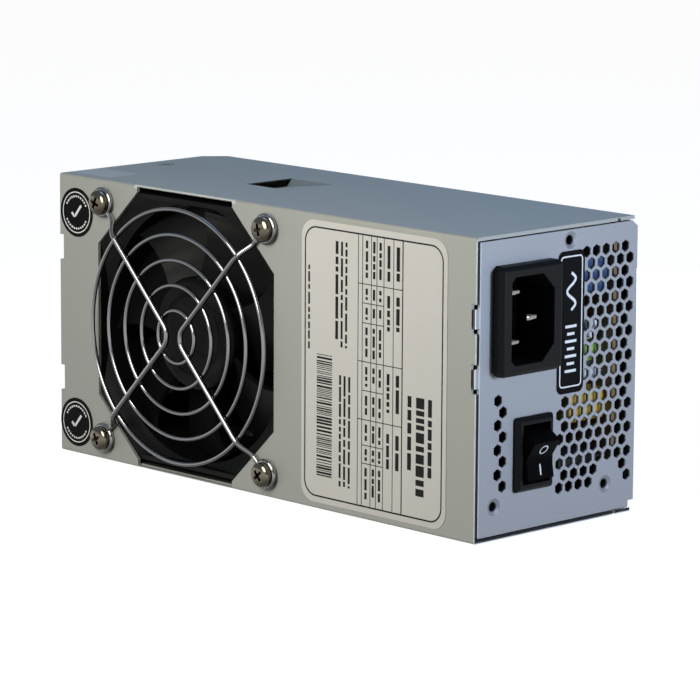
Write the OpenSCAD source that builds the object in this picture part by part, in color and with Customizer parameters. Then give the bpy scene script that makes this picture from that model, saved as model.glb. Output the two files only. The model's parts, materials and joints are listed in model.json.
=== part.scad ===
// Slim desktop power supply: folded steel case, 80 mm fan behind a wire guard, mains inlet,
// rocker switch and a power board. Millimetres. Z is up, X runs along the case to the inlet
// end, the fan faces -Y, and the origin is the middle of the underside.

/* [Case] */
// Length of the case along X
case_l = 175; // [157:0.5:195]
// Depth of the case along Y
case_d = 65; // [58:0.5:75]
// Height of the case along Z
case_h = 85; // [76:0.1:94]
// Thickness of the sheet steel
sheet = 1; // [0.8:0.05:1.1]
// Outer bend radius of the cover
bend_r = 0.8; // [0.6:0.05:1.5]
// Gap between the cover and the tray inside it
case_gap = 0.4; // [0.15:0.05:0.5]
// How far the cable end panel sits inside the cover
cable_end_inset = 2.2; // [2:0.1:3]
// Size of the bend relief at the tray's corners
relief = 2.2; // [1.8:0.1:2.6]
// Width of the tray's side flanges inside the cover
flange_w = 8; // [6:0.5:10]

/* [Fan] */
// Distance of the fan's axis from the cable end
fan_end = 56.1; // [54:0.1:58]
// Gap between the fan frame and the case's sides
fan_gap = 1.5; // [1:0.1:2.5]
// Thickness of the fan frame
fan_t = 20; // [18:0.5:21]
// Distance of the screw holes from the frame's edge
fan_hole_in = 4.25; // [4:0.05:4.5]
// Wall of the frame at the narrowest place round the bore
bore_wall = 1.6; // [1.3:0.1:2]
// Thickness of the frame's end flanges
fan_flange_t = 4; // [3:0.1:5]
// Corner radius of the frame
fan_corner_r = 4; // [3:0.1:5]
// Depth of the hub's face behind the frame's front
hub_in = 2.2; // [1.8:0.1:3]
// Wall of the hub
hub_wall = 1.5; // [1.2:0.1:1.8]
// Gap between blade tips and bore
tip_gap = 1.2; // [0.8:0.1:2]
// Hub diameter
hub_d = 34; // [32:0.5:36]
// Number of blades
blade_n = 7; // [5:1:9]
// Blade thickness
blade_t = 1.5; // [1.2:0.1:2]
// Shaft diameter
shaft_d = 3; // [2.5:0.1:3.2]
// Radial play of the shaft in its bearing
bearing_play = 0.04; // [0.02:0.01:0.08]
// Diameter of the fan screw's shank
fan_screw_d = 4.2; // [3.8:0.1:4.4]
// Diameter of the fan screw's head
fan_head_d = 7.4; // [7:0.1:8]

/* [Guard] */
// How far the outer ring's centre line lies inside the bore
guard_in = 0.8; // [0:0.1:2]
// Centre radius of the inner ring
ring_in_r = 7.8; // [7:0.1:9]
// Number of rings
ring_n = 5; // [4:1:6]
// Wire diameter of the rings
ring_wire = 1.3; // [1.2:0.1:1.8]
// Wire diameter of the struts
strut_wire = 1.6; // [1.4:0.1:2.2]
// Height of the ring plane above the cover
guard_rise = 3; // [2.6:0.1:4]
// Centre radius of the screw loops
loop_r = 3.8; // [3.6:0.1:4]

/* [Fan opening] */
// How far the opening's upright edges lie inside the fan frame
open_in = 1.45; // [1:0.05:2.5]
// Length of the flat edges at the top and bottom
open_flat = 41.5; // [38:0.5:44]
// Length of the upright edges
open_side = 46; // [42:0.5:48]
// Depth of the step beside the flat edges
open_step = 1.7; // [1:0.1:2.5]
// Sheet left between the opening and the case's sides
open_lip = 0.5; // [0.4:0.05:1.5]

/* [Latch window] */
// Distance of the window's centre from the cable end
window_end = 64.6; // [62:0.1:70]
// Window centre along Y
window_y = 2; // [0:0.1:4]
// Width of the window along X
window_w = 18.3; // [16:0.1:20]
// Length of the window along Y
window_l = 18.4; // [16:0.1:20]
// How far the louver in the window is pressed in at its sheared edge
louver_d = 2.3; // [1.6:0.1:3.2]
// Width of the louver's sloping sides at its sheared edge
louver_side = 2; // [1:0.1:4]

/* [Inlet] */
// Inlet centre along Y
inlet_y = -14; // [-14.5:0.1:-13.5]
// Distance of the inlet's centre from the top of the case
inlet_drop = 23.8; // [23:0.1:24.5]
// Flange width along Y
inlet_w = 24.8; // [24.5:0.1:25.5]
// Flange height along Z
inlet_h = 30.7; // [30.4:0.1:31.5]
// How far the flange stands out
inlet_out = 4; // [3:0.1:4.5]
// Socket width along Y
socket_w = 16.8; // [16.4:0.1:17.2]
// Socket height along Z
socket_h = 24.4; // [24:0.1:24.8]
// Depth of the socket
socket_d = 15; // [14:0.5:17]
// Corner cut of the socket beside the earth pin
socket_cut = 4.6; // [4:0.1:5]
// Wall of the inlet body
inlet_wall = 1.6; // [1.4:0.1:1.8]
// Distance between the line and neutral pins
pin_pitch = 14; // [13.8:0.1:14.2]
// Distance between the earth pin and the other two, along Y
pin_offset = 4; // [3.8:0.1:4.2]
// Pin width
pin_w = 4; // [3.8:0.1:4.2]
// Pin thickness
pin_t = 2; // [1.8:0.1:2.2]
// Depth of the line and neutral pin tips below the flange
pin_in = 4.9; // [4:0.1:6]
// Depth of the earth pin's tip below the flange
earth_in = 2.2; // [1.5:0.1:3]

/* [Switch] */
// Switch centre along Y
switch_y = -9.8; // [-10.4:0.1:-9.4]
// Switch centre along Z
switch_z = 22.8; // [22:0.1:23.4]
// Bezel width along Y
bezel_w = 15; // [14.6:0.1:15.6]
// Bezel height along Z
bezel_h = 21; // [20.8:0.1:21.6]
// How far the bezel stands out
bezel_out = 2; // [1.6:0.1:2.4]
// Width of the body behind the panel
switch_w = 13; // [12.8:0.1:13.2]
// Height of the body behind the panel
switch_h = 19; // [18.8:0.1:19.2]
// Width of the rocker
rocker_w = 10.2; // [9.8:0.1:10.3]
// Gap beside the rocker
rocker_gap = 0.35; // [0.3:0.05:0.45]
// Tilt of the rocker to each side, in degrees
rocker_tilt = 12; // [10:0.5:12.5]
// Diameter of the rocker's pivot pins
pivot_d = 2.4; // [2.2:0.1:2.6]
// Depth of the pivot behind the panel's face
pivot_in = 3; // [2.9:0.1:3.2]
// Tilt of the contact lever to each side, in degrees
lever_tilt = 7; // [5:0.5:7.5]

/* [Honeycomb and mounting holes] */
// Hole width across flats
hex_af = 3.1; // [2.8:0.05:3.2]
// Distance between holes
hex_pitch = 4; // [3.9:0.05:4.05]
// Y of the outer hole in the top row
hex_y = 27.5; // [27:0.1:27.8]
// Distance of the top row from the top of the case
hex_drop = 8.3; // [8:0.1:9]
// Lowest place of the bottom row
hex_low = 10.5; // [10:0.1:14]
// Y of the column beside the switch
column_y = -23.4; // [-24:0.1:-23]
// Sheet between the inlet and the top hole of that column
column_drop = 6.85; // [6:0.05:8]
// Lowest place of that column's holes
column_low = 14; // [13:0.1:16]
// Core diameter of the 6-32 mounting threads
mount_d = 2.8; // [2.7:0.05:2.9]
// Outer diameter of the drawn collars round the mounting threads
collar_d = 4.8; // [4.4:0.1:5.2]
// Length of the collars behind the panel
collar_l = 1.5; // [1:0.1:2.5]
// Diameter of the dimples at the mounting holes' mouths
dimple_d = 5.4; // [5:0.1:6]
// Depth of the dimples
dimple_in = 0.6; // [0.4:0.05:0.7]

/* [Labels] */
// Label thickness
label_t = 0.15; // [0.1:0.05:0.25]
// Distance of the rating label from the fan's screws
rating_gap = 14.45; // [12:0.05:20]
// Distance of the rating label from the inlet end
rating_end = 10.8; // [8:0.1:14]
// Distance of the rating label from the case's sides
rating_side = 1.9; // [1.5:0.1:6]
// Corner radius of the rating label
rating_r = 5; // [3:0.5:6]
// Voltage label centre along Y
volt_y = 5.2; // [5:0.1:5.4]
// Distance of the voltage label's centre from the top of the case
volt_drop = 27.4; // [26:0.1:29]
// Voltage label width
volt_w = 10.8; // [9:0.1:11]
// Voltage label height
volt_h = 40.2; // [36:0.1:42]
// Diameter of the round stickers
sticker_d = 14.8; // [12:0.1:15]

/* [Board] */
// Board thickness
board_t = 1.6; // [1.4:0.1:1.8]
// Height of the standoffs under the board
standoff_h = 4; // [3.5:0.1:5]
// Thickness of the insulating sheet under the board
insulation_t = 0.4; // [0.3:0.05:0.5]
// Gap between the board's edge and the case's sides
board_margin = 4; // [3.6:0.1:4.5]
// Thickness of the heatsink plates
sink_t = 3; // [2.5:0.1:3.2]
// Gap between the fan and the heatsinks
sink_gap = 6.4; // [5:0.1:9]
// Distance of the heatsinks' ends from the case's sides
sink_end = 8.5; // [8:0.1:12]
// Depth of the heatsink fins
fin_d = 5; // [4:0.1:5.5]
// Thickness of the heatsink fins
fin_t = 1.4; // [1:0.1:2]
// Distance between the heatsink fins
fin_pitch = 6; // [5:0.1:8]
// Height of the device screws above the board
clamp_h = 20; // [19:0.1:21]
// Diameter of the bulk capacitors
bulk_d = 22; // [18:0.5:22]
// Height of the bulk capacitors
bulk_h = 36; // [25:0.5:38]
// Diameter of the output capacitors
output_cap_d = 10; // [8:0.5:10.4]
// Height of the output capacitors
output_cap_h = 22; // [16:0.5:24]
// Gap between the fan and the main transformer
trafo_gap = 7.4; // [6:0.1:10]
// Length of the main transformer along X
trafo_l = 28; // [24:0.5:29]
// Width of the main transformer along Z
trafo_w = 34; // [32:0.5:36]
// Width of the transformer's middle leg
trafo_leg = 9; // [8:0.1:10]
// Width of the transformer's winding windows
trafo_window = 6.5; // [6:0.1:7]
// Thickness of the transformer's upper yoke
trafo_yoke = 7; // [5:0.1:8]
// Outer radius of the output choke
choke_r = 12.5; // [10:0.1:12.6]
// Hole radius of the output choke
choke_hole_r = 5.5; // [4:0.1:6]
// Height of the output choke
choke_h = 14; // [10:0.5:16]
// Outer radius of the filter choke
filter_r = 7.8; // [6:0.1:7.9]
// Hole radius of the filter choke
filter_hole_r = 3.6; // [3:0.1:4]
// Height of the filter choke
filter_h = 13; // [10:0.5:16]
// Diameter of the mains leads
lead_d = 2.6; // [2.2:0.1:2.8]
// Diameter of the cable outlet
outlet_d = 16; // [13:0.5:17]

/* [Hidden] */
$fn = 48;
// Small gap that keeps seated round pieces from touching
fit = 0.03;
x_in = case_l / 2;
x_end = -case_l / 2;
x_cable = x_end + cable_end_inset;
y_fan = -case_d / 2;
y_back = case_d / 2;
y_inner = y_fan + sheet;
tray_z0 = sheet + case_gap;
tray_z1 = case_h - sheet - case_gap;
fan_x = x_end + fan_end;
fan_z = case_h / 2;
fan_size = case_h - 2 * (sheet + fan_gap);
fan_pitch = fan_size - 2 * fan_hole_in;
fan_front = y_inner;
fan_back = fan_front + fan_t;
bore_r = fan_size / 2 - bore_wall;
guard_r = bore_r - guard_in;
guard_step = (guard_r - ring_in_r) / (ring_n - 1);
window_x = x_end + window_end;
inlet_z = case_h - inlet_drop;
hex_z = case_h - hex_drop;
volt_z = case_h - volt_drop;
rating_x0 = fan_x + fan_pitch / 2 + rating_gap;
rating_x1 = x_in - rating_end;
// Heights of the tabs and notches on the case's edges
tab_z = [fan_z + 20.1, fan_z + 3.5];
tab_w = 5.4;
notch_z = [fan_z + 20.1, fan_z - 19.9];
sticker_at = [[x_end + 7.8, case_h - 11.2], [x_end + 7.3, 9.6]];
hub_r = hub_d / 2;
tip_r = bore_r - tip_gap;
cup_in = hub_in + 1.6;
cup_t = 0.7;
shaft_r = shaft_d / 2;
board_back = y_back - sheet - standoff_h;
board_y = board_back - board_t;
board_x0 = x_cable + 5.5;
board_x1 = x_in - 3;
panel_x = x_in - sheet;
row_pitch = hex_pitch * sqrt(3) / 2;
mount_at = [[4.9, case_h - 4.4], [-24.6, 9.4], [20.6, 9.4]];
fan_corners = [for (i = [-1, 1], k = [-1, 1]) [fan_x + i * fan_pitch / 2, fan_z + k * fan_pitch / 2]];
standoff_at = [for (x = [board_x0 + 5.5, board_x1 - 6], z = [9, case_h - 9]) [x, z]];
case_screw_x = x_end + 7;
case_screw_y = 4;
outlet_y = 6;
outlet_z = 20;
inlet_back = inlet_out - socket_d - 3;
body_w = socket_w + 2 * inlet_wall;
body_h = socket_h + 2 * inlet_wall;
switch_back = -16;
switch_floor = -12.5;
tab_l = 8;
earth_at = [4, inlet_z - 5.4];
rocker_slot = rocker_w + 2 * rocker_gap;

// Shared shapes

module block(a, b) {
    translate(a) cube(b - a);
}

module along_x(x0, l) {
    translate([x0, 0, 0]) rotate([90, 0, 90]) linear_extrude(l) children();
}

module along_y(y0, l) {
    translate([0, y0 + l, 0]) rotate([90, 0, 0]) linear_extrude(l) children();
}

module rod_x(x0, x1, y, z, r) {
    translate([x0, y, z]) rotate([0, 90, 0]) cylinder(h = x1 - x0, r = r);
}

module rod_y(y0, y1, x, z, r) {
    translate([x, y0, z]) rotate([-90, 0, 0]) cylinder(h = y1 - y0, r = r);
}

module rounded(w, h, r) {
    square([w - 2 * r, h], center = true);
    square([w, h - 2 * r], center = true);
    for (i = [-1, 1], k = [-1, 1]) translate([i * (w / 2 - r), k * (h / 2 - r)]) circle(r);
}

module cut_rect(w, h, c) {
    polygon([[-w / 2 + c, -h / 2], [w / 2 - c, -h / 2], [w / 2, -h / 2 + c], [w / 2, h / 2 - c],
        [w / 2 - c, h / 2], [-w / 2 + c, h / 2], [-w / 2, h / 2 - c], [-w / 2, -h / 2 + c]]);
}

// A wire through a list of points, with a ball at each bend
module wire(pts, r) {
    for (i = [0 : len(pts) - 2]) {
        d = pts[i + 1] - pts[i];
        translate(pts[i])
            rotate([0, acos(d[2] / norm(d)), atan2(d[1], d[0])]) cylinder(h = norm(d), r = r);
    }
    if (len(pts) > 2) for (i = [1 : len(pts) - 2]) {
        before = pts[i] - pts[i - 1];
        after = pts[i + 1] - pts[i];
        away = before / norm(before) - after / norm(after);
        translate(pts[i]) rotate([0, 0, atan2(away[1], away[0])]) sphere(r * 1.03);
    }
}

module cross_recess(w, t, d) {
    for (a = [0, 90]) rotate([0, 0, a]) translate([-w / 2, -t / 2, -d]) cube([w, t, d + 1]);
}

module at_fan(y0) {
    translate([fan_x, y0, fan_z]) rotate([-90, 0, 0]) children();
}

// Case

module cover_profile() {
    l = case_d - sheet - case_gap;
    difference() {
        translate([y_fan, 0]) union() {
            translate([bend_r, 0]) square([l - bend_r, case_h]);
            translate([0, bend_r]) square([l, case_h - 2 * bend_r]);
            for (z = [bend_r, case_h - bend_r]) translate([bend_r, z]) circle(bend_r);
        }
        translate([y_inner, sheet]) square([case_d, case_h - 2 * sheet]);
    }
}

module fan_opening() {
    w = fan_size / 2 - open_in;
    f = open_flat / 2;
    s = open_side / 2;
    h = fan_z - open_lip;
    k = h - open_step;
    translate([fan_x, fan_z])
        polygon([[-f, -h], [f, -h], [f, -k], [w, -s], [w, s], [f, k], [f, h], [-f, h], [-f, k], [-w, s],
            [-w, -s], [-f, -k]]);
}

module latch_louver() {
    x0 = window_x - window_w / 2 + fit;
    x1 = window_x + window_w / 2;
    y0 = window_y - window_l / 2;
    y1 = window_y + window_l / 2;
    rim = [[x0, y0, 0], [x0, y0 + louver_side, -louver_d], [x0, y1 - louver_side, -louver_d], [x0, y1, 0],
        [x1, y1, 0], [x1, y0, 0]];
    polyhedron(concat([for (p = rim) p + [0, 0, case_h]], [for (p = rim) p + [0, 0, case_h - sheet]]),
        [[1, 2, 4, 5], [0, 1, 5], [3, 4, 2], [11, 10, 8, 7], [11, 7, 6], [8, 10, 9], [3, 2, 1, 0, 6, 7, 8, 9],
            [4, 3, 9, 10], [5, 4, 10, 11], [0, 5, 11, 6]]);
}

module case_cover() {
    color("silver") latch_louver();
    color("silver") difference() {
        along_x(x_end, case_l) cover_profile();
        along_y(y_fan - 1, sheet + 1.5) fan_opening();
        for (p = fan_corners) rod_y(y_fan - 1, y_inner + 1, p[0], p[1], 2.4);
        translate([window_x - window_w / 2, window_y - window_l / 2, case_h - sheet - 1])
            cube([window_w, window_l, 3]);
        for (z = tab_z)
            block([x_in - 1.7, y_fan - 1, z - tab_w / 2 - 1.4], [x_in + 1, y_inner + 0.2, z + tab_w / 2 + 1.4]);
        for (z = notch_z) block([x_end - 1, y_fan - 1, z - 3.8], [x_end + 1.6, y_inner + 0.2, z + 3.8]);
        translate([0, 0, -1]) linear_extrude(case_h + 2) {
            polygon([[x_end - 1, y_back - 7.5], [x_end, y_back - 7.5], [x_end + 6.5, y_back],
                [x_end + 6.5, y_back + 1], [x_end - 1, y_back + 1]]);
            translate([x_in - 1, 24]) square([2, 1.2]);
        }
        for (k = [0, 1]) translate([0, 0, k * case_h]) mirror([0, 0, k])
            translate([case_screw_x, case_screw_y, -0.001]) cylinder(h = 1.3, r1 = 2.86, r2 = 1.56);
    }
}

module hex_field() {
    for (i = [0 : floor((hex_z - hex_low) / row_pitch)]) {
        z = hex_z - i * row_pitch;
        n = z > volt_z - volt_h / 2 ? 5 : 7 + i % 2;
        for (k = [0 : n - 1]) {
            p = [hex_y + (i % 2) * hex_pitch / 2 - k * hex_pitch, z];
            if (norm(p - mount_at[2]) > 6.6) translate(p) rotate(30) circle(r = hex_af / sqrt(3), $fn = 6);
        }
    }
    top = inlet_z - inlet_h / 2 - column_drop;
    for (j = [0 : floor((top - column_low) / row_pitch)])
        translate([column_y + (j % 2) * hex_pitch / 2, top - j * row_pitch]) rotate(30)
            circle(r = hex_af / sqrt(3), $fn = 6);
}

module panel_face() {
    difference() {
        union() {
            translate([y_inner + case_gap, tray_z0]) square([y_back - y_inner - case_gap, tray_z1 - tray_z0]);
            for (z = tab_z) translate([y_fan, z - tab_w / 2]) square([sheet + case_gap + 1, tab_w]);
        }
        translate([inlet_y, inlet_z]) cut_rect(body_w + 0.2, body_h + 0.2, 0.8);
        translate([switch_y, switch_z]) square([switch_w + 0.2, switch_h + 0.2], center = true);
        hex_field();
    }
}

// Relief below and chamfer above where the tray's back plate meets an end panel
module corner_cut(x) {
    block([x - 3, y_back - relief, -1], [x + 3, y_back + 1, relief + sheet]);
    along_x(x - 3, 6)
        polygon([[y_back - relief, tray_z1], [y_back - relief, tray_z1 + 1], [y_back + 1, tray_z1 + 1],
            [y_back + 1, tray_z1 - 1.7], [y_back, tray_z1 - 1.7]]);
}

module inlet_panel() {
    color("lightsteelblue") difference() {
        union() {
            along_x(panel_x, sheet) panel_face();
            block([panel_x - flange_w, -20, tray_z0], [panel_x + 0.5, 14, tray_z0 + sheet]);
            block([panel_x - flange_w, -24, tray_z1 - sheet], [panel_x + 0.5, -2, tray_z1]);
            for (p = mount_at) rod_x(panel_x - collar_l, panel_x + 0.5, p[0], p[1], collar_d / 2);
        }
        corner_cut(x_in);
        for (p = mount_at) {
            rod_x(panel_x - collar_l - 1, x_in + 1, p[0], p[1], mount_d / 2);
            translate([x_in + 0.001, p[0], p[1]]) rotate([0, -90, 0])
                cylinder(h = dimple_in, r1 = dimple_d / 2, r2 = mount_d / 2);
        }
    }
}

module cable_panel() {
    difference() {
        translate([y_inner + case_gap, tray_z0]) square([y_back - y_inner - case_gap, tray_z1 - tray_z0]);
        translate([outlet_y, outlet_z]) circle(outlet_d / 2 + 2);
        for (k = [-3 : 3]) translate([7 * k - 1, case_h - 25]) rounded(2.6, 26, 1.2);
    }
}

module case_tray() {
    color("lightsteelblue") difference() {
        union() {
            along_x(x_cable, sheet) cable_panel();
            block([x_cable, y_back - sheet, tray_z0], [panel_x, y_back, tray_z1]);
            for (z = [tray_z0, tray_z1 - sheet]) {
                block([x_cable + 4, y_back - flange_w, z], [x_in - 6, y_back, z + sheet]);
                block([x_cable, -10, z], [x_cable + 11, 18, z + sheet]);
            }
        }
        for (x = [x_cable, x_in]) corner_cut(x);
        for (p = standoff_at) rod_y(y_back - 2 * sheet, y_back + 1, p[0], p[1], 2.5 + fit);
        for (k = [0, 1]) translate([0, 0, k * case_h]) mirror([0, 0, k])
            translate([case_screw_x, case_screw_y, 0]) {
                cylinder(h = 4, r = 1.55);
                translate([0, 0, sheet]) cylinder(h = case_gap + 0.4, r1 = 2.2, r2 = 1.55);
            }
    }
}

module case_screws() {
    color("gray") for (k = [0, 1]) translate([0, 0, k * case_h]) mirror([0, 0, k])
        translate([case_screw_x, case_screw_y, 0]) difference() {
            union() {
                translate([0, 0, 0.05]) cylinder(h = 1.3, r1 = 2.75, r2 = 1.45);
                cylinder(h = 6, r = 1.45);
            }
            translate([0, 0, -1]) cylinder(h = 1.05, r = 4);
            mirror([0, 0, 1]) cross_recess(2.6, 0.7, 0.8);
        }
}

// Fan

module fan_square(h) {
    linear_extrude(h) rounded(fan_size, fan_size, fan_corner_r);
}

module fan_frame() {
    r = fan_size / 2;
    color("#202022") at_fan(fan_front) difference() {
        union() {
            fan_square(fan_flange_t);
            translate([0, 0, fan_t - fan_flange_t]) fan_square(fan_flange_t);
            translate([0, 0, fan_flange_t - 1]) cylinder(h = fan_t - 2 * fan_flange_t + 2, r = r - 0.3);
        }
        difference() {
            translate([0, 0, -1]) cylinder(h = fan_t + 2, r = bore_r);
            translate([0, 0, fan_t - 2.5]) cylinder(h = 5, r = hub_r + 0.5);
            for (a = [45 : 90 : 359])
                rotate([0, 0, a]) translate([hub_r - 2, -2.5, fan_t - 2.5]) cube([r, 5, 5]);
            translate([0, 0, 6.5]) cylinder(h = fan_t, r = 4.2);
        }
        intersection() {
            translate([0, 0, -0.01]) cylinder(h = fan_flange_t, r1 = r + 5, r2 = bore_r - 0.5);
            translate([-r + 1.4, -r + 1.4, -1]) cube([fan_size - 2.8, fan_size - 2.8, fan_flange_t + 2]);
        }
        for (i = [-1, 1], k = [-1, 1]) translate([i * fan_pitch / 2, k * fan_pitch / 2, -1])
            cylinder(h = fan_t + 2, r = fan_screw_d / 2 + 0.1);
        translate([0, 0, 6]) cylinder(h = fan_t - 7, r = 3);
    }
}

// One blade's section, a shallow arc leaning along the fan's axis
function blade_arc(side) = [for (i = [0 : 8]) let (s = i / 4 - 1, bow = 2.2 * (1 - s * s))
    [8.5 * s - 0.6 * bow + 0.45 * side * blade_t,
        fan_t * 0.44 + (fan_t * 0.3) * s + 0.8 * bow - 0.45 * side * blade_t]];

module blades() {
    left = blade_arc(1);
    right = blade_arc(-1);
    intersection() {
        for (a = [0 : blade_n - 1]) rotate([0, 0, a * 360 / blade_n]) rotate([90, 0, 90])
            translate([0, 0, hub_r - 3]) linear_extrude(bore_r)
                polygon(concat(left, [for (i = [8 : -1 : 0]) right[i]]));
        difference() {
            cylinder(h = fan_t, r = tip_r);
            translate([0, 0, -1]) cylinder(h = fan_t + 2, r = hub_r - 0.7);
        }
    }
}

module fan_impeller() {
    color("#2a2a2d") at_fan(fan_front) {
        difference() {
            union() {
                translate([0, 0, hub_in]) cylinder(h = fan_t - hub_in - 4.4, r = hub_r);
                blades();
            }
            translate([0, 0, cup_in]) cylinder(h = fan_t, r = hub_r - hub_wall);
        }
        translate([0, 0, cup_in - 0.2]) difference() {
            cylinder(h = 2, r = 3.2);
            translate([0, 0, 0.4]) cylinder(h = 3, r = shaft_r + 0.01);
        }
    }
}

module fan_rotor_cup() {
    r = hub_r - hub_wall - fit;
    color("gray") at_fan(fan_front) difference() {
        translate([0, 0, cup_in]) cylinder(h = fan_t - cup_in - 4.8, r = r);
        translate([0, 0, cup_in + cup_t]) cylinder(h = fan_t, r = r - cup_t);
        cylinder(h = fan_t, r = 3.4);
    }
}

module fan_magnet() {
    r = hub_r - hub_wall - cup_t - 2 * fit;
    color("#303030") at_fan(fan_front) translate([0, 0, cup_in + cup_t]) difference() {
        cylinder(h = fan_t - cup_in - cup_t - 5, r = r);
        translate([0, 0, -1]) cylinder(h = fan_t, r = r - 2);
    }
}

module fan_shaft() {
    color("lightgray") at_fan(fan_front)
        translate([0, 0, cup_in + 0.2]) cylinder(h = fan_t - cup_in - 2.2, r = shaft_r);
}

module fan_bearing() {
    color("peru") at_fan(fan_front) translate([0, 0, 6.6]) difference() {
        cylinder(h = fan_t - 8, r = 3 - fit);
        translate([0, 0, -1]) cylinder(h = fan_t, r = shaft_r + bearing_play);
    }
}

module pole_arm() {
    translate([5, -1.5, 0]) cube([hub_r - 11, 3, 5]);
}

module fan_stator() {
    r = hub_r - 5.2;
    color("dimgray") at_fan(fan_front) translate([0, 0, 8]) difference() {
        union() {
            cylinder(h = 5, r = 6);
            for (a = [0 : 90 : 359]) rotate([0, 0, a]) pole_arm();
            difference() {
                cylinder(h = 5, r = r);
                translate([0, 0, -1]) cylinder(h = 7, r = r - 1.4);
                for (a = [45 : 90 : 359]) rotate([0, 0, a]) translate([0, -1.5, -1]) cube([20, 3, 7]);
            }
        }
        translate([0, 0, -1]) cylinder(h = 7, r = 4.2 + fit);
    }
}

module fan_coils() {
    color("chocolate") at_fan(fan_front) translate([0, 0, 8]) for (a = [0 : 90 : 359]) rotate([0, 0, a])
        difference() {
            translate([6.1, -2.9, -1.4]) cube([hub_r - 13.1, 5.8, 7.8]);
            pole_arm();
        }
}

module fan_circuit() {
    color("seagreen") at_fan(fan_front) translate([0, 0, fan_t - 3.5]) difference() {
        cylinder(h = 1, r = hub_r - 3);
        translate([0, 0, -1]) cylinder(h = 3, r = 4.2 + fit);
    }
}

lead_x = fan_x - fan_pitch / 2 + 4;
lead_z = fan_z + fan_pitch / 2 - 4;

module fan_lead() {
    y = fan_back + 0.75;
    color("#18181a") for (s = [-0.6, 0.6])
        wire([[fan_x - 8 + s, y, fan_z + 8 + s], [lead_x + s, y, lead_z + s],
            [lead_x + s, board_y - 9, lead_z + s]], 0.7);
}

module fan_plug() {
    color("ivory") block([lead_x - 3, board_y - 9, lead_z - 2.5], [lead_x + 3, board_y, lead_z + 2.5]);
}

// Half of the guard's struts: a bent wire from one screw loop to the next
module guard_strut() {
    r = strut_wire / 2;
    h = -guard_rise - ring_wire / 2 - r + 0.25;
    a = guard_r / sqrt(2) + 1;
    b = fan_pitch / 2 - loop_r / sqrt(2);
    pts = [[b, -r, b], [b - 2.4, -r, b - 2.4], [a, h, a], [4.2, h, 3.3], [3, h, 1.6], [3, h, -1.6],
        [4.2, h, -3.3], [a, h, -a], [b - 2.4, -r, -b + 2.4], [b, -r, -b]];
    wire(pts, r);
}

module guard_ring(r, d) {
    rotate([90, 0, 0]) rotate_extrude() translate([r, 0]) circle(d / 2);
}

module fan_guard() {
    color("whitesmoke") translate([fan_x, y_fan - fit, fan_z]) {
        for (i = [0 : ring_n - 1])
            translate([0, -guard_rise, 0]) guard_ring(guard_r - i * guard_step, ring_wire);
        guard_strut();
        mirror([1, 0, 0]) guard_strut();
        for (i = [-1, 1], k = [-1, 1]) translate([i * fan_pitch / 2, -strut_wire / 2, k * fan_pitch / 2])
            guard_ring(loop_r, strut_wire);
    }
}

module fan_screws() {
    y = y_fan - strut_wire - 2 * fit;
    color("darkkhaki") for (p = fan_corners) translate([p[0], y, p[1]]) rotate([90, 0, 0]) difference() {
        union() {
            translate([0, 0, -strut_wire - sheet - 8])
                cylinder(h = strut_wire + sheet + 8, r = fan_screw_d / 2);
            cylinder(h = 1.2, r = fan_head_d / 2);
            translate([0, 0, 1.2]) cylinder(h = 1.1, r1 = fan_head_d / 2, r2 = fan_head_d / 2 - 1.3);
        }
        translate([0, 0, 2.3]) cross_recess(4.2, 1, 1.5);
    }
}

// Mains inlet: X here is counted outwards from the panel's face

module at_inlet() {
    translate([x_in, inlet_y, inlet_z]) children();
}

module socket_shape(g) {
    w = socket_w / 2 + g;
    h = socket_h / 2 + g;
    polygon([[-w + 1.4, -h], [w - socket_cut, -h], [w, -h + socket_cut], [w, h - socket_cut],
        [w - socket_cut, h], [-w + 1.4, h], [-w, h - 1.4], [-w, -h + 1.4]]);
}

module pin_holes() {
    for (p = [[-pin_offset / 2, -pin_pitch / 2], [-pin_offset / 2, pin_pitch / 2], [pin_offset / 2, 0]])
        translate(p) square([pin_w, pin_t], center = true);
}

module inlet_housing() {
    color("#1c1c1e") at_inlet() difference() {
        union() {
            intersection() {
                along_x(0, inlet_out) cut_rect(inlet_w, inlet_h, 1.6);
                translate([0, inlet_w / 2, 0]) rotate([90, 0, 0]) linear_extrude(inlet_w)
                    polygon([[0, -inlet_h / 2], [inlet_out - 1, -inlet_h / 2],
                        [inlet_out, -inlet_h / 2 + 1.2], [inlet_out, inlet_h / 2 - 1.2],
                        [inlet_out - 1, inlet_h / 2], [0, inlet_h / 2]]);
                translate([0, 0, -inlet_h / 2]) linear_extrude(inlet_h)
                    polygon([[0, -inlet_w / 2], [inlet_out - 1, -inlet_w / 2],
                        [inlet_out, -inlet_w / 2 + 1.2], [inlet_out, inlet_w / 2 - 1.2],
                        [inlet_out - 1, inlet_w / 2], [0, inlet_w / 2]]);
            }
            along_x(inlet_back, 0.5 - inlet_back) cut_rect(body_w, body_h, 0.8);
            for (k = [-1, 1]) translate([0, -3, k * body_h / 2]) rotate([-90, 0, 0]) linear_extrude(6)
                polygon([[-sheet - 0.2, 0.3 * k], [-sheet - 0.2, -0.9 * k], [-7, 0.3 * k]]);
        }
        along_x(inlet_out - socket_d, socket_d + 1) socket_shape(0);
        along_x(inlet_back - 1, 6) pin_holes();
    }
}

module inlet_pin(p, tip) {
    translate([0, p[0], p[1]]) {
        block([inlet_back, -pin_w / 2, -pin_t / 2], [inlet_out - tip, pin_w / 2, pin_t / 2]);
        block([inlet_back - tab_l, -2.4, -0.4], [inlet_back, 2.4, 0.4]);
    }
}

module inlet_pins() {
    color("silver") at_inlet() {
        for (k = [-1, 1]) inlet_pin([-pin_offset / 2, k * pin_pitch / 2], pin_in);
        inlet_pin([pin_offset / 2, 0], earth_in);
    }
}

// Rocker switch

module at_switch() {
    translate([x_in, switch_y, switch_z]) children();
}

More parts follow.
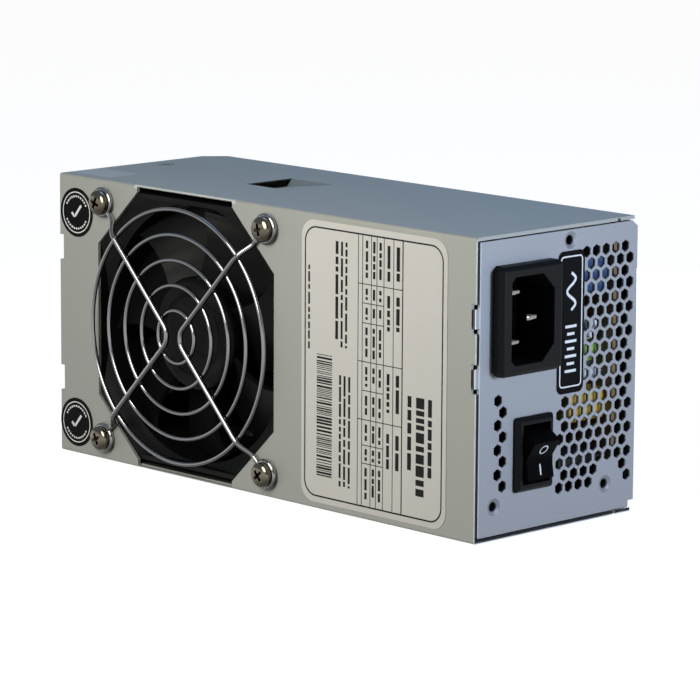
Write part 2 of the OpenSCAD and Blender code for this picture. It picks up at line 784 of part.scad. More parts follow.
module switch_housing() {
    color("#1c1c1e") at_switch() difference() {
        union() {
            intersection() {
                along_x(0, bezel_out) cut_rect(bezel_w, bezel_h, 0.6);
                translate([0, bezel_w / 2, 0]) rotate([90, 0, 0]) linear_extrude(bezel_w)
                    polygon([[0, -bezel_h / 2], [0.7, -bezel_h / 2], [bezel_out, -bezel_h / 2 + 1.1],
                        [bezel_out, bezel_h / 2 - 1.1], [0.7, bezel_h / 2], [0, bezel_h / 2]]);
                translate([0, 0, -bezel_h / 2]) linear_extrude(bezel_h)
                    polygon([[0, -bezel_w / 2], [0.7, -bezel_w / 2], [bezel_out, -bezel_w / 2 + 1.1],
                        [bezel_out, bezel_w / 2 - 1.1], [0.7, bezel_w / 2], [0, bezel_w / 2]]);
            }
            block([switch_back, -switch_w / 2, -switch_h / 2], [0.5, switch_w / 2, switch_h / 2]);
        }
        block([switch_floor, -rocker_slot / 2, -8.4], [bezel_out + 1, rocker_slot / 2, 8.4]);
        translate([-pivot_in, -switch_w, 0]) rotate([-90, 0, 0])
            cylinder(h = 2 * switch_w, r = pivot_d / 2 + 0.05);
        for (z = [0, 5]) block([switch_back - 1, -2.4, z - 0.4], [switch_floor + 1, 2.4, z + 0.4]);
    }
}

module at_rocker() {
    at_switch() translate([-pivot_in, 0, 0]) rotate([0, rocker_tilt, 0]) children();
}

module switch_rocker() {
    color("#242426") at_rocker() difference() {
        union() {
            translate([0, rocker_w / 2, 0]) rotate([90, 0, 0]) linear_extrude(rocker_w)
                polygon([[6, 0], [8.1, 5.5], [4, 7.2], [0.5, 7.2], [-2.2, 2.4], [-2.2, -2.4], [0.5, -7.2],
                    [4, -7.2], [8.1, -5.5]]);
            translate([0, -switch_w / 2 + 0.2, 0]) rotate([-90, 0, 0])
                cylinder(h = switch_w - 0.4, r = pivot_d / 2);
            rod_x(-4.2, 0, 0, 0, 2);
        }
        rod_x(-5, 3, 0, 0, 1.25);
    }
}

module switch_plunger() {
    color("white") at_rocker() {
        rod_x(-4.8, -2, 0, 0, 1.2);
        intersection() {
            translate([-4.75, 0, 0]) sphere(1.2);
            rod_x(-5.5, -4.5, 0, 0, 1.1);
        }
    }
}

module switch_spring() {
    color("silver") at_rocker() difference() {
        rod_x(-2, 3, 0, 0, 1.15);
        rod_x(-3, 4, 0, 0, 0.85);
    }
}

module switch_lever() {
    color("darkgoldenrod") at_switch() translate([-9.3, 0, 0]) rotate([0, -lever_tilt, 0]) {
        translate([0, 2, 0]) rotate([90, 0, 0]) linear_extrude(4)
            polygon([[-0.35, -0.8], [-0.35, 0.8], [0.5, 5.8], [1.2, 5.8], [0.4, 0.8], [0.4, -0.8],
                [1.2, -5.8], [0.5, -5.8]]);
        for (k = [-1, 1]) block([-0.3, -1, k * 5.1 - 0.6], [0.75, 1, k * 5.1 + 0.6]);
        difference() {
            translate([0, -2, 0]) rotate([-90, 0, 0]) cylinder(h = 4, r = 0.6);
            block([0.1, -3, -1], [1, 3, 1]);
        }
    }
}

module switch_terminals() {
    color("goldenrod") at_switch() {
        block([switch_back - tab_l, -2.4, -0.4], [-10, 2.4, 0.4]);
        block([switch_back - tab_l, -2.4, 4.6], [-10.6, 2.4, 5.4]);
    }
}

// Labels

module rating_label() {
    color("antiquewhite") along_y(y_fan - label_t, label_t) translate([(rating_x0 + rating_x1) / 2, fan_z])
        rounded(rating_x1 - rating_x0, case_h - 2 * rating_side, rating_r);
}

module voltage_label() {
    color("#161616") along_x(x_in, label_t) translate([volt_y, volt_z]) rounded(volt_w, volt_h, 2);
}

module round_stickers() {
    color("#161616") for (p = sticker_at) rod_y(y_fan - label_t, y_fan, p[0], p[1], sticker_d / 2);
}

// Board and what stands on it

module main_board() {
    color("peru") difference() {
        block([board_x0, board_y, board_margin], [board_x1, board_back, case_h - board_margin]);
        for (p = standoff_at) rod_y(board_y - 1, board_back + 1, p[0], p[1], 1.65);
    }
}

module insulation_sheet() {
    color("lightyellow") difference() {
        block([board_x0 - 1, y_back - sheet - insulation_t, board_margin - 0.6],
            [board_x1 + 1, y_back - sheet, case_h - board_margin + 0.6]);
        for (p = standoff_at) rod_y(y_back - 3, y_back, p[0], p[1], 3.4);
    }
}

module standoffs() {
    color("gainsboro") for (p = standoff_at) difference() {
        union() {
            translate([p[0], board_back, p[1]]) rotate([-90, 0, 0]) cylinder(h = standoff_h, r = 3, $fn = 6);
            rod_y(y_back - sheet - 0.5, y_back, p[0], p[1], 2.5);
        }
        rod_y(board_back - 1, y_back - 0.4, p[0], p[1], 1.5);
    }
}

module board_screws() {
    color("silver") for (p = standoff_at) translate([p[0], board_y, p[1]]) rotate([90, 0, 0]) difference() {
        union() {
            translate([0, 0, -board_t - standoff_h + 0.2]) cylinder(h = board_t + standoff_h, r = 1.45);
            cylinder(h = 1.2, r = 2.8);
            translate([0, 0, 1.2]) cylinder(h = 0.8, r1 = 2.8, r2 = 1.8);
        }
        translate([0, 0, 2]) cross_recess(3.2, 0.8, 1.2);
    }
}

sink1_x = fan_x + 46;
sink2_x = fan_x - 2.6;
store_x = sink1_x + 14.6;
sink_top = fan_back + sink_gap;
device_z1 = [fan_z - 6.5, fan_z + 7.5];
device_z2 = [fan_z - 24.5, fan_z - 4.5];

module heatsink(x, dir, holes) {
    difference() {
        union() {
            block([x - sink_t / 2, sink_top, sink_end], [x + sink_t / 2, board_y, case_h - sink_end]);
            for (k = [0 : 2]) {
                a = x - dir * sink_t / 2;
                b = a - dir * fin_d;
                y = sink_top + 2 + k * fin_pitch;
                block([min(a, b), y, sink_end], [max(a, b), y + fin_t, case_h - sink_end]);
            }
        }
        for (z = holes) rod_x(x - 20, x + 20, board_y - clamp_h, z, 1.5);
    }
}

module primary_heatsink() {
    color("lightgray") heatsink(sink1_x, 1, device_z1);
}

module secondary_heatsink() {
    color("lightgray") heatsink(sink2_x, -1, device_z2);
}

// A three-legged power device clamped to a heatsink face, drawn on its +X side
module device(x, z) {
    translate([x, board_y, z]) difference() {
        union() {
            block([0, -clamp_h - 4, -5], [1.3, -8, 5]);
            block([0, -clamp_h + 3, -5], [4.5, -8, 5]);
            for (k = [-1, 0, 1]) block([2.2, -8.5, k * 2.5 - 0.4], [2.8, 0, k * 2.5 + 0.4]);
        }
        rod_x(-1, 6, -clamp_h, 0, 1.6);
    }
}

module device_screw(x, z) {
    translate([x, board_y - clamp_h, z]) {
        rod_x(-sink_t, 1.4, 0, 0, 1.45);
        difference() {
            rod_x(1.3, 3.3, 0, 0, 2.7);
            block([2.5, -2, -0.4], [4, 2, 0.4]);
        }
    }
}

module power_transistors() {
    color("#222222") for (z = device_z1) device(sink1_x + sink_t / 2, z);
}

module output_rectifiers() {
    color("#222222") for (z = device_z2)
        translate([2 * sink2_x, 0, 0]) mirror([1, 0, 0]) device(sink2_x + sink_t / 2, z);
}

module device_screws() {
    color("silver") {
        for (z = device_z1) device_screw(sink1_x + sink_t / 2, z);
        for (z = device_z2)
            translate([2 * sink2_x, 0, 0]) mirror([1, 0, 0]) device_screw(sink2_x + sink_t / 2, z);
    }
}

module can(x, z, d, h) {
    translate([x, board_y, z]) rotate([90, 0, 0]) difference() {
        cylinder(h = h, r = d / 2);
        translate([0, 0, h - 0.4]) cross_recess(d * 0.7, 0.5, 0);
        translate([0, 0, 2]) rotate_extrude() translate([d / 2 + 0.3, 0]) circle(0.9);
    }
}

module bulk_capacitors() {
    color("#26304a") for (k = [-1, 1]) can(store_x, fan_z + 24.5 * k, bulk_d, bulk_h);
}

module output_capacitors() {
    color("#3a2a22") for (p = [[24, 30.5], [24, 18.5], [35.1, 30.5], [35.1, 18.5], [35.1, 6.5]])
        can(fan_x - p[0], fan_z - p[1], output_cap_d, output_cap_h);
}

trafo_x = fan_x + 23.5;
trafo_top = fan_back + trafo_gap;

module main_transformer() {
    l = trafo_l / 2;
    color("#3a3a3c") difference() {
        block([trafo_x - l, trafo_top, fan_z - trafo_w / 2], [trafo_x + l, board_y, fan_z + trafo_w / 2]);
        for (k = [0, 1]) translate([0, 0, fan_z]) mirror([0, 0, k])
            block([trafo_x - l - 1, trafo_top + trafo_yoke, trafo_leg / 2],
                [trafo_x + l + 1, board_y - 4, trafo_leg / 2 + trafo_window]);
    }
}

module transformer_winding() {
    l = trafo_l / 2;
    w = trafo_leg / 2 + trafo_window;
    color("gold") difference() {
        block([trafo_x - l - 1.5, trafo_top + trafo_yoke, fan_z - w],
            [trafo_x + l + 1.5, board_y - 4, fan_z + w]);
        block([trafo_x - l, trafo_top, fan_z - trafo_leg / 2], [trafo_x + l, board_y, fan_z + trafo_leg / 2]);
    }
}

module standby_transformer() {
    color("gold") {
        block([store_x - 8, board_y - 16, fan_z - 6], [store_x + 8, board_y, fan_z + 6]);
        block([store_x - 5, board_y - 13, fan_z - 8.5], [store_x + 5, board_y - 2, fan_z + 8.5]);
    }
}

module ring_core(x, z, ro, ri, h) {
    translate([x, board_y, z]) rotate([90, 0, 0]) difference() {
        cylinder(h = h, r = ro);
        translate([0, 0, -1]) cylinder(h = h + 2, r = ri);
    }
}

module output_choke() {
    color("orange") ring_core(fan_x - 25.6, fan_z + 10, choke_r, choke_hole_r, choke_h);
}

module filter_choke() {
    color("#4a3a2a") ring_core(x_in - 18.5, fan_z + 24, filter_r, filter_hole_r, filter_h);
}

module x_capacitor() {
    color("gold") block([x_in - 24, board_y - 15, fan_z - 15.5], [x_in - 5.5, board_y, fan_z - 6.5]);
}

module disc_z(x, z, t, d) {
    translate([x, board_y - d / 2 - 1, z - t / 2]) cylinder(h = t, r = d / 2);
    for (k = [-1, 1]) rod_y(board_y - d / 2, board_y, x + k * d * 0.3, z, 0.4);
}

module y_capacitors() {
    color("lightsteelblue") for (x = [x_in - 10, x_in - 21]) disc_z(x, fan_z - 1.9, 4, 9);
}

module thermistor() {
    color("mediumseagreen") disc_z(x_in - 10.5, fan_z + 4.3, 5, 10.4);
}

varistor_z = fan_z + 26.5;
fuse_z = fan_z + 10.7;
fuse_r = 2.6;

module varistor() {
    color("royalblue") {
        rod_x(x_in - 8.5, x_in - 4, board_y - 6.5, varistor_z, 5.2);
        for (k = [-1, 1]) rod_y(board_y - 3, board_y, x_in - 6.2, varistor_z + k * 2.6, 0.4);
    }
}

module fuse() {
    color("aliceblue") rod_x(x_in - 26, x_in - 6, board_y - 5, fuse_z, fuse_r);
}

module fuse_clips() {
    color("silver") for (x = [x_in - 24, x_in - 9]) difference() {
        block([x - 2, board_y - 6.5, fuse_z - 3.2], [x + 2, board_y, fuse_z + 3.2]);
        rod_x(x - 3, x + 3, board_y - 5, fuse_z, fuse_r + fit);
        block([x - 3, board_y - 7, fuse_z - 1.6], [x + 3, board_y - 5, fuse_z + 1.6]);
    }
}

module bridge_rectifier() {
    color("#202020") {
        block([x_in - 26.5, board_y - 19, 14], [x_in - 5.5, board_y - 3, 17.6]);
        for (k = [0 : 3])
            block([x_in - 24.8 + k * 5.6, board_y - 3.5, 15.4], [x_in - 23.8 + k * 5.6, board_y, 16.2]);
    }
}

module control_chip() {
    color("#202020") difference() {
        block([board_x0 + 2.8, board_y - 3.6, fan_z + 3.5], [board_x0 + 7.8, board_y, fan_z + 19.5]);
        rod_y(board_y - 4, board_y - 3.2, board_x0 + 5.3, fan_z + 19.5, 1);
    }
}

// Leads inside the case

module spade(p) {
    difference() {
        translate(p) block([-3, -3.2, -1.5], [tab_l - 1, 3.2, 1.5]);
        translate(p) block([0, -2.4, -0.4], [tab_l, 2.4, 0.4]);
    }
}

line_tab = [x_in + inlet_back - tab_l, inlet_y - pin_offset / 2, inlet_z - pin_pitch / 2];
neutral_tab = line_tab + [0, 0, pin_pitch];
earth_tab = line_tab + [0, pin_offset, pin_pitch / 2];
common_tab = [x_in + switch_back - tab_l, switch_y, switch_z];
contact_tab = common_tab + [0, 0, 5];
bend_x = line_tab[0] - 6.5;

module live_lead() {
    color("saddlebrown") {
        spade(line_tab);
        spade(contact_tab);
        wire([line_tab - [2.5, 0, 0], [bend_x, line_tab[1], line_tab[2]],
            [bend_x, contact_tab[1], contact_tab[2]], contact_tab - [2.5, 0, 0]], lead_d / 2);
    }
}

module switched_lead() {
    color("saddlebrown") {
        spade(common_tab);
        wire([common_tab - [2.5, 0, 0], [bend_x, switch_y, switch_z], [bend_x, switch_y + 3, switch_z - 3],
            [bend_x, board_y, switch_z - 3]], lead_d / 2);
    }
}

module neutral_lead() {
    color("royalblue") {
        spade(neutral_tab);
        wire([neutral_tab - [2.5, 0, 0], [bend_x, neutral_tab[1], neutral_tab[2]],
            [bend_x, board_y, neutral_tab[2]]], lead_d / 2);
    }
}

module earth_lead() {
    y = earth_at[0];
    z = earth_at[1];
    color("yellowgreen") {
        spade(earth_tab);
        wire([earth_tab - [2.5, 0, 0], [bend_x, earth_tab[1], earth_tab[2]], [bend_x, y, earth_tab[2]],
            [panel_x - 3, y, earth_tab[2]]], lead_d / 2);
        difference() {
            union() {
                rod_x(panel_x - 0.8, panel_x, y, z, 3.6);
                block([panel_x - 0.8, y - 1.7, z], [panel_x, y + 1.7, z + 6.9]);
                block([panel_x - 6, y - 1.7, z + 3.9], [panel_x, y + 1.7, z + 6.9]);
            }
            rod_x(panel_x - 3, panel_x + 1, y, z, 2);
        }
    }
}

module earth_stud() {
    color("gainsboro") rod_x(panel_x - 9, panel_x, earth_at[0], earth_at[1], 1.9);
}

module earth_nut() {
    color("silver") translate([panel_x - 3.8, earth_at[0], earth_at[1]]) rotate([0, 90, 0]) difference() {
        cylinder(h = 3, r = 3.7, $fn = 6);
        translate([0, 0, -1]) cylinder(h = 5, r = 1.9 + fit);
    }
}

module cable_grommet() {
    r = outlet_d / 2;
    color("#1c1c1e") translate([x_cable, outlet_y, outlet_z]) rotate([0, 90, 0]) rotate_extrude()
        polygon([[r, -1.6], [r + 3.4, -1.6], [r + 4, -1], [r + 4, 0], [r + 2 - fit, 0], [r + 2 - fit, sheet],
            [r + 3.4, sheet], [r + 3.4, sheet + 0.8], [r + 2, sheet + 2.4], [r, sheet + 2.4]]);
}

case_cover();
case_tray();
inlet_panel();
case_screws();
fan_frame();
fan_impeller();
fan_rotor_cup();
fan_magnet();
fan_shaft();
fan_bearing();
fan_stator();
fan_coils();
fan_circuit();
fan_lead();
fan_plug();
fan_guard();
fan_screws();
inlet_housing();
inlet_pins();
switch_housing();
switch_rocker();
switch_plunger();
switch_spring();
switch_lever();
switch_terminals();
rating_label();
voltage_label();
round_stickers();
main_board();
insulation_sheet();
standoffs();
board_screws();
primary_heatsink();
secondary_heatsink();
power_transistors();
output_rectifiers();
device_screws();
bulk_capacitors();
main_transformer();
transformer_winding();
standby_transformer();
output_choke();
filter_choke();
x_capacitor();
y_capacitors();
thermistor();
varistor();
fuse();
fuse_clips();
bridge_rectifier();
output_capacitors();
control_chip();
live_lead();
switched_lead();
neutral_lead();
earth_lead();
earth_stud();
earth_nut();
cable_grommet();
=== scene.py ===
import json
import math
import random

import bmesh
import bpy
from mathutils import Matrix, Vector


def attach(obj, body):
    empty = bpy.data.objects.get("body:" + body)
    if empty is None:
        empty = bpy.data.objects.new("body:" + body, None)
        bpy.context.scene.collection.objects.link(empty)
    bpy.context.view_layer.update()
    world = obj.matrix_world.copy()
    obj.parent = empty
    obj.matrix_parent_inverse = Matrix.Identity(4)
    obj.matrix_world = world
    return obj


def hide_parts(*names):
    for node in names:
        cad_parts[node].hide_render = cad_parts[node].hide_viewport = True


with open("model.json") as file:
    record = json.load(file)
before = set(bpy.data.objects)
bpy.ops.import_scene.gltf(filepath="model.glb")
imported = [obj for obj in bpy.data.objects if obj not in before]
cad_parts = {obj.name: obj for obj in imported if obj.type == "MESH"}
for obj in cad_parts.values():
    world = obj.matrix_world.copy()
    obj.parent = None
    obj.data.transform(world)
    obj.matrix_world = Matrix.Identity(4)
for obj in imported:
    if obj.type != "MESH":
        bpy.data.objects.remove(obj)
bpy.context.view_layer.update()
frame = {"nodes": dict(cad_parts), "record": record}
nodes = frame["nodes"]
record = frame["record"]
slotOfNode = {part["node"]: part["material_slot"] for part in record["subparts"]}
bodyOfNode = {node: body for body, members in record["behaviour"]["bodies"].items() for node in members}
scene = bpy.context.scene
mm = 0.001
print("frame loaded:", len(nodes), "nodes")


# Shader helpers

def newGroup(name, inputs, outputs):
    group = bpy.data.node_groups.new(name, "ShaderNodeTree")
    for label, kind, value in inputs:
        socket = group.interface.new_socket(label, in_out="INPUT", socket_type="NodeSocket" + kind)
        if value is not None:
            socket.default_value = value
    for label, kind in outputs:
        group.interface.new_socket(label, in_out="OUTPUT", socket_type="NodeSocket" + kind)
    return group, group.nodes.new("NodeGroupInput"), group.nodes.new("NodeGroupOutput")


def addNode(tree, kind, settings=None, values=None):
    node = tree.nodes.new(kind)
    for key, value in (settings or {}).items():
        setattr(node, key, value)
    for key, value in (values or {}).items():
        node.inputs[key].default_value = value
    return node


def feed(tree, socket, value):
    # a plain value is set on the socket, anything else is linked to it
    if isinstance(value, (int, float)):
        socket.default_value = value
    elif isinstance(value, tuple):
        socket.default_value = (*value, 1)
    else:
        tree.links.new(value, socket)


def noise(tree, vector, scale, detail, rough=0.55):
    node = addNode(tree, "ShaderNodeTexNoise", values={"Detail": detail, "Roughness": rough})
    feed(tree, node.inputs["Vector"], vector)
    feed(tree, node.inputs["Scale"], scale)
    return node.outputs["Fac"]


def maths(tree, operation, a, b):
    node = addNode(tree, "ShaderNodeMath", {"operation": operation})
    feed(tree, node.inputs[0], a)
    feed(tree, node.inputs[1], b)
    return node.outputs[0]


def total(tree, first, *others):
    for other in others:
        first = maths(tree, "ADD", first, other)
    return first


def shares(tree, a, shareA, b, shareB):
    return maths(tree, "ADD", maths(tree, "MULTIPLY", a, shareA), maths(tree, "MULTIPLY", b, shareB))


def swing(tree, fac, amount):
    # amount times fac's distance from its middle
    return maths(tree, "MULTIPLY", maths(tree, "SUBTRACT", fac, 0.5), amount)


def between(tree, value, low, high):
    # 1 where value lies between the two limits
    above = maths(tree, "GREATER_THAN", value, low)
    below = maths(tree, "LESS_THAN", value, high)
    return maths(tree, "MULTIPLY", above, below)


def brighten(tree, colour, gain):
    node = addNode(tree, "ShaderNodeVectorMath", {"operation": "SCALE"})
    feed(tree, node.inputs[0], colour)
    feed(tree, node.inputs["Scale"], gain)
    return node.outputs[0]


def multiply(tree, a, b):
    node = addNode(tree, "ShaderNodeVectorMath", {"operation": "MULTIPLY"})
    feed(tree, node.inputs[0], a)
    feed(tree, node.inputs[1], b)
    return node.outputs[0]


def mixColour(tree, factor, a, b):
    node = addNode(tree, "ShaderNodeMix", {"data_type": "RGBA"})
    first, second = (s for s in node.inputs if s.type == "RGBA")
    feed(tree, first, a)
    feed(tree, second, b)
    feed(tree, node.inputs[0], factor)
    return next(s for s in node.outputs if s.type == "RGBA")


# Shader groups

surfaceOutputs = [("Color", "Color"), ("Rough", "Float"), ("Height", "Float")]
sheetScale = {"cloud": 24, "streak": 55, "grain": 2600, "stretch": (1, 26, 26)}
skinScale = {"mottle": 90, "rubbed": 38}


def buildSheetGroup():
    # rolled sheet metal: soft clouds of tarnish, fine rolling streaks and a dry grain
    inputs = [("Vector", "Vector", None), ("Color", "Color", (0.5, 0.5, 0.5, 1)), ("Cloud", "Float", 0.1),
              ("Streak", "Float", 0.05), ("Rough", "Float", 0.45), ("Rough Swing", "Float", 0.2)]
    group, src, out = newGroup("rolledSheet", inputs, surfaceOutputs)
    vector = src.outputs["Vector"]
    stretch = addNode(group, "ShaderNodeMapping", values={"Scale": sheetScale["stretch"]})
    group.links.new(vector, stretch.inputs["Vector"])
    cloud = noise(group, vector, sheetScale["cloud"], 3)
    streak = noise(group, stretch.outputs["Vector"], sheetScale["streak"], 4, 0.7)
    grain = noise(group, vector, sheetScale["grain"], 1)
    clouds = swing(group, cloud, src.outputs["Cloud"])
    streaks = swing(group, streak, src.outputs["Streak"])
    gain = total(group, clouds, streaks, swing(group, grain, 0.05), 1.0)
    rough = swing(group, shares(group, streak, 0.6, cloud, 0.4), src.outputs["Rough Swing"])
    group.links.new(brighten(group, src.outputs["Color"], gain), out.inputs["Color"])
    group.links.new(total(group, src.outputs["Rough"], rough), out.inputs["Rough"])
    group.links.new(shares(group, streak, 0.5, grain, 0.5), out.inputs["Height"])
    return group


def buildSkinGroup():
    # moulded plastic, paper, lacquer and rubber: fine skin, a little mottle, a few rubbed places
    inputs = [("Vector", "Vector", None), ("Color", "Color", (0.1, 0.1, 0.1, 1)),
              ("Skin Scale", "Float", 1800.0), ("Mottle", "Float", 0.1), ("Rough", "Float", 0.5),
              ("Rough Swing", "Float", 0.15)]
    group, src, out = newGroup("mouldedSkin", inputs, surfaceOutputs)
    vector = src.outputs["Vector"]
    skin = noise(group, vector, src.outputs["Skin Scale"], 2)
    mottle = noise(group, vector, skinScale["mottle"], 3)
    rubbed = noise(group, vector, skinScale["rubbed"], 2, 0.4)
    gain = total(group, swing(group, mottle, src.outputs["Mottle"]), swing(group, skin, 0.08), 1.0)
    rough = swing(group, shares(group, rubbed, 0.7, skin, 0.3), src.outputs["Rough Swing"])
    group.links.new(brighten(group, src.outputs["Color"], gain), out.inputs["Color"])
    group.links.new(total(group, src.outputs["Rough"], rough), out.inputs["Rough"])
    group.links.new(skin, out.inputs["Height"])
    return group


def buildPlaceGroup(name, places):
    # a tint by place: boxes (x0, x1, y0, y1, z0, z1) in mm, each with what the colour is multiplied by there
    group, src, out = newGroup(name, [("Vector", "Vector", None)], [("Tint", "Color")])
    split = addNode(group, "ShaderNodeSeparateXYZ")
    group.links.new(src.outputs["Vector"], split.inputs[0])
    tint = (1.0, 1.0, 1.0)
    for limits, shade in places:
        mask = 1.0
        for k, axis in enumerate("XYZ"):
            low, high = limits[2 * k] * mm, limits[2 * k + 1] * mm
            mask = maths(group, "MULTIPLY", between(group, split.outputs[axis], low, high), mask)
        tint = mixColour(group, mask, tint, shade)
    group.links.new(tint, out.inputs["Tint"])
    return group


# painted shade and painted highlights on the cover by place, and a clear seal
coverPaintedLightAndSeal = [
    ((-90, 87.38, -31.56, 40, 0.9, 60), (0.14, 0.14, 0.14)),  # painted shade inside
    ((87.38, 90, -40, 40, -1, 83.9), (0.04, 0.04, 0.05)),  # sheared end edges darkened to near black, painted shade of the gap to the inlet panel
    ((87.3, 90, -34, -32.15, -1, 83.9), (1.5, 1.5, 1.5)),  # painted highlight on their outer edge
    ((87.3, 90, -34, 40, -1, 0.3), (1.4, 1.45, 1.6)),  # and a bluish painted highlight on the bottom edge
    ((-32.1, -13.7, 8.9, 11.25, 82, 84.97), (0.5, 0.6, 0.73)),  # painted bluish shade on the far slope of the louver
    ((-32.3, -31.93, -7, 11, 84.6, 84.985), (2.2, 2.3, 2.4)),  # painted highlight on its cut edge
    ((-53.4, -9.4, -32.6, -31.4, 83.9, 84.97), (1.6, 1.6, 1.66)),  # painted highlight on the bend above the fan
    ((-87.2, -69.5, -28.5, -16.5, 84.9, 90), (1.25, 1.25, 1.25)),  # clear seal near the left corner
]
dimples = {"at": ((4.9, 80.6), (-24.6, 9.4), (20.6, 9.4)), "half": 3}  # round the mounting holes, where the dimples get painted shade
# painted shade and painted highlights on the tray and the inlet panel by place
trayPaintedLight = [
    ((-84.35, 86.4, -40, 31.55, -1, 90), (0.14, 0.14, 0.14)),  # painted shade inside
    ((86.4, 87.1, -40, 31.6, 2, 90), (0.3, 0.3, 0.3)),  # painted shade on the walls of the vent holes
    ((87.1, 87.48, -40, 31.6, 2, 90), (2.6, 2.6, 2.6)),  # painted highlight on their rims
    ((86.9, 88, -31.4, -30.7, 2, 84.5), (1.5, 1.5, 1.5)),  # painted highlight on the near edge of the inlet panel
]
# painted shade on the dimples round the mounting holes
for y, z in dimples["at"]:
    half = dimples["half"]
    trayPaintedLight.append(((86.45, 87.47, y - half, y + half, z - half, z + half), (0.75, 0.75, 0.75)))
sheetGroup = buildSheetGroup()
skinGroup = buildSkinGroup()
coverGroup = buildPlaceGroup("coverPaintedLightAndSeal", coverPaintedLightAndSeal)
trayGroup = buildPlaceGroup("trayPaintedLight", trayPaintedLight)


# Finishes, one for each material slot of the record and two inks

def sheetLook(colour, metal, rough, cloud=0.12, streak=0.08, bump=0.06, swingRough=0.2, specular=0.5,
              places=None, worn=None):
    return {"group": sheetGroup, "colour": colour, "metal": metal, "rough": rough, "bump": bump, "coat": 0.0,
            "specular": specular, "places": places, "worn": worn,
            "inputs": {"Cloud": cloud, "Streak": streak, "Rough Swing": swingRough}}


def skinLook(colour, rough, scale=1800.0, mottle=0.12, bump=0.08, coat=0.0, specular=0.5):
    return {"group": skinGroup, "colour": colour, "metal": 0.0, "rough": rough, "bump": bump, "coat": coat,
            "specular": specular, "places": None, "worn": None,
            "inputs": {"Skin Scale": scale, "Mottle": mottle, "Rough Swing": 0.16}}


looks = {
    # cover and tray are the same steel: the cover's warmer tone is painted warm front light, the tray's
    # bluer, darker tone painted cool light on the end panel
    "cover_steel": sheetLook((0.382, 0.386, 0.352), 0.3, 0.55, cloud=0.07, streak=0.06, specular=0.15,
                             places=coverGroup),
    "tray_steel": sheetLook((0.336, 0.344, 0.362), 0.3, 0.52, cloud=0.08, streak=0.06, specular=0.2,
                            places=trayGroup),
    "screw_zinc": sheetLook((0.2, 0.21, 0.2), 0.9, 0.36),
    # the screws and the guard get painted shade on their undersides
    "screw_gold": sheetLook((0.25, 0.222, 0.165), 1.0, 0.13, cloud=0.4, swingRough=0.1, worn="shine"),
    "plain_steel": sheetLook((0.5, 0.5, 0.5), 0.9, 0.38),
    "guard_chrome": sheetLook((0.42, 0.42, 0.415), 1.0, 0.1, cloud=0.05, streak=0.02, bump=0.01,
                              swingRough=0.06, worn="shine"),
    "pin_metal": sheetLook((0.3, 0.3, 0.285), 1.0, 0.12, cloud=0.08, swingRough=0.08),
    "contact_brass": sheetLook((0.72, 0.53, 0.25), 1.0, 0.3),
    "bronze": sheetLook((0.5, 0.33, 0.17), 0.9, 0.45),
    "copper": sheetLook((0.6, 0.27, 0.12), 0.8, 0.3, streak=0.3),
    "sink_aluminium": sheetLook((0.62, 0.62, 0.63), 0.9, 0.35),
    "fan_plastic": skinLook((0.0056, 0.0056, 0.0056), 0.42, specular=0.09),
    "blade_plastic": skinLook((0.005, 0.005, 0.005), 0.34, specular=0.08),
    "black_plastic": skinLook((0.0032, 0.0034, 0.004), 0.5, specular=0.11),
    "rocker_plastic": skinLook((0.0014, 0.0014, 0.0018), 0.5, specular=0.02),
    "white_plastic": skinLook((0.75, 0.73, 0.66), 0.45),
    "ferrite": skinLook((0.06, 0.06, 0.062), 0.6, scale=900.0),
    "small_board": skinLook((0.05, 0.28, 0.14), 0.4, mottle=0.25),
    "board_tan": skinLook((0.2, 0.125, 0.06), 0.55, mottle=0.3, scale=700.0),
    "clear_sheet": skinLook((0.03, 0.03, 0.032), 0.45),
    "chip_epoxy": skinLook((0.025, 0.025, 0.025), 0.55, scale=2400.0),
    "sleeve_dark": skinLook((0.03, 0.035, 0.06), 0.25, coat=0.3),
    "tape_yellow": skinLook((0.75, 0.5, 0.06), 0.35, mottle=0.25),
    "choke_yellow": skinLook((0.7, 0.5, 0.1), 0.5, mottle=0.25),
    "film_yellow": skinLook((0.68, 0.44, 0.06), 0.3, coat=0.2),
    "disc_grey": skinLook((0.6, 0.64, 0.68), 0.3, coat=0.3),
    "disc_green": skinLook((0.3, 0.5, 0.1), 0.35, coat=0.2),
    "disc_blue": skinLook((0.022, 0.058, 0.15), 0.3, coat=0.3),
    "fuse_glass": skinLook((0.85, 0.87, 0.88), 0.08, coat=0.5, bump=0.01),
    "label_paper": skinLook((0.634, 0.61, 0.57), 0.5, scale=1400.0, mottle=0.06, bump=0.04, specular=0.3),
    "label_black": skinLook((0.0036, 0.0036, 0.0046), 0.45, scale=1400.0, mottle=0.08, bump=0.04,
                            specular=0.04),
    "black_lead": skinLook((0.02, 0.02, 0.02), 0.5),
    "brown_lead": skinLook((0.2, 0.08, 0.03), 0.5),
    "blue_lead": skinLook((0.05, 0.15, 0.5), 0.5),
    "green_lead": skinLook((0.25, 0.45, 0.08), 0.5),
    "inkDark": skinLook((0.01, 0.01, 0.011), 0.6, scale=2200.0, mottle=0.35, specular=0.12),
    "inkWhite": skinLook((0.8, 0.8, 0.78), 0.55, scale=2200.0, mottle=0.12),
}


surface = {"centre": (0.013, 0.007, -0.0425), "bumpDepth": 0.0002}


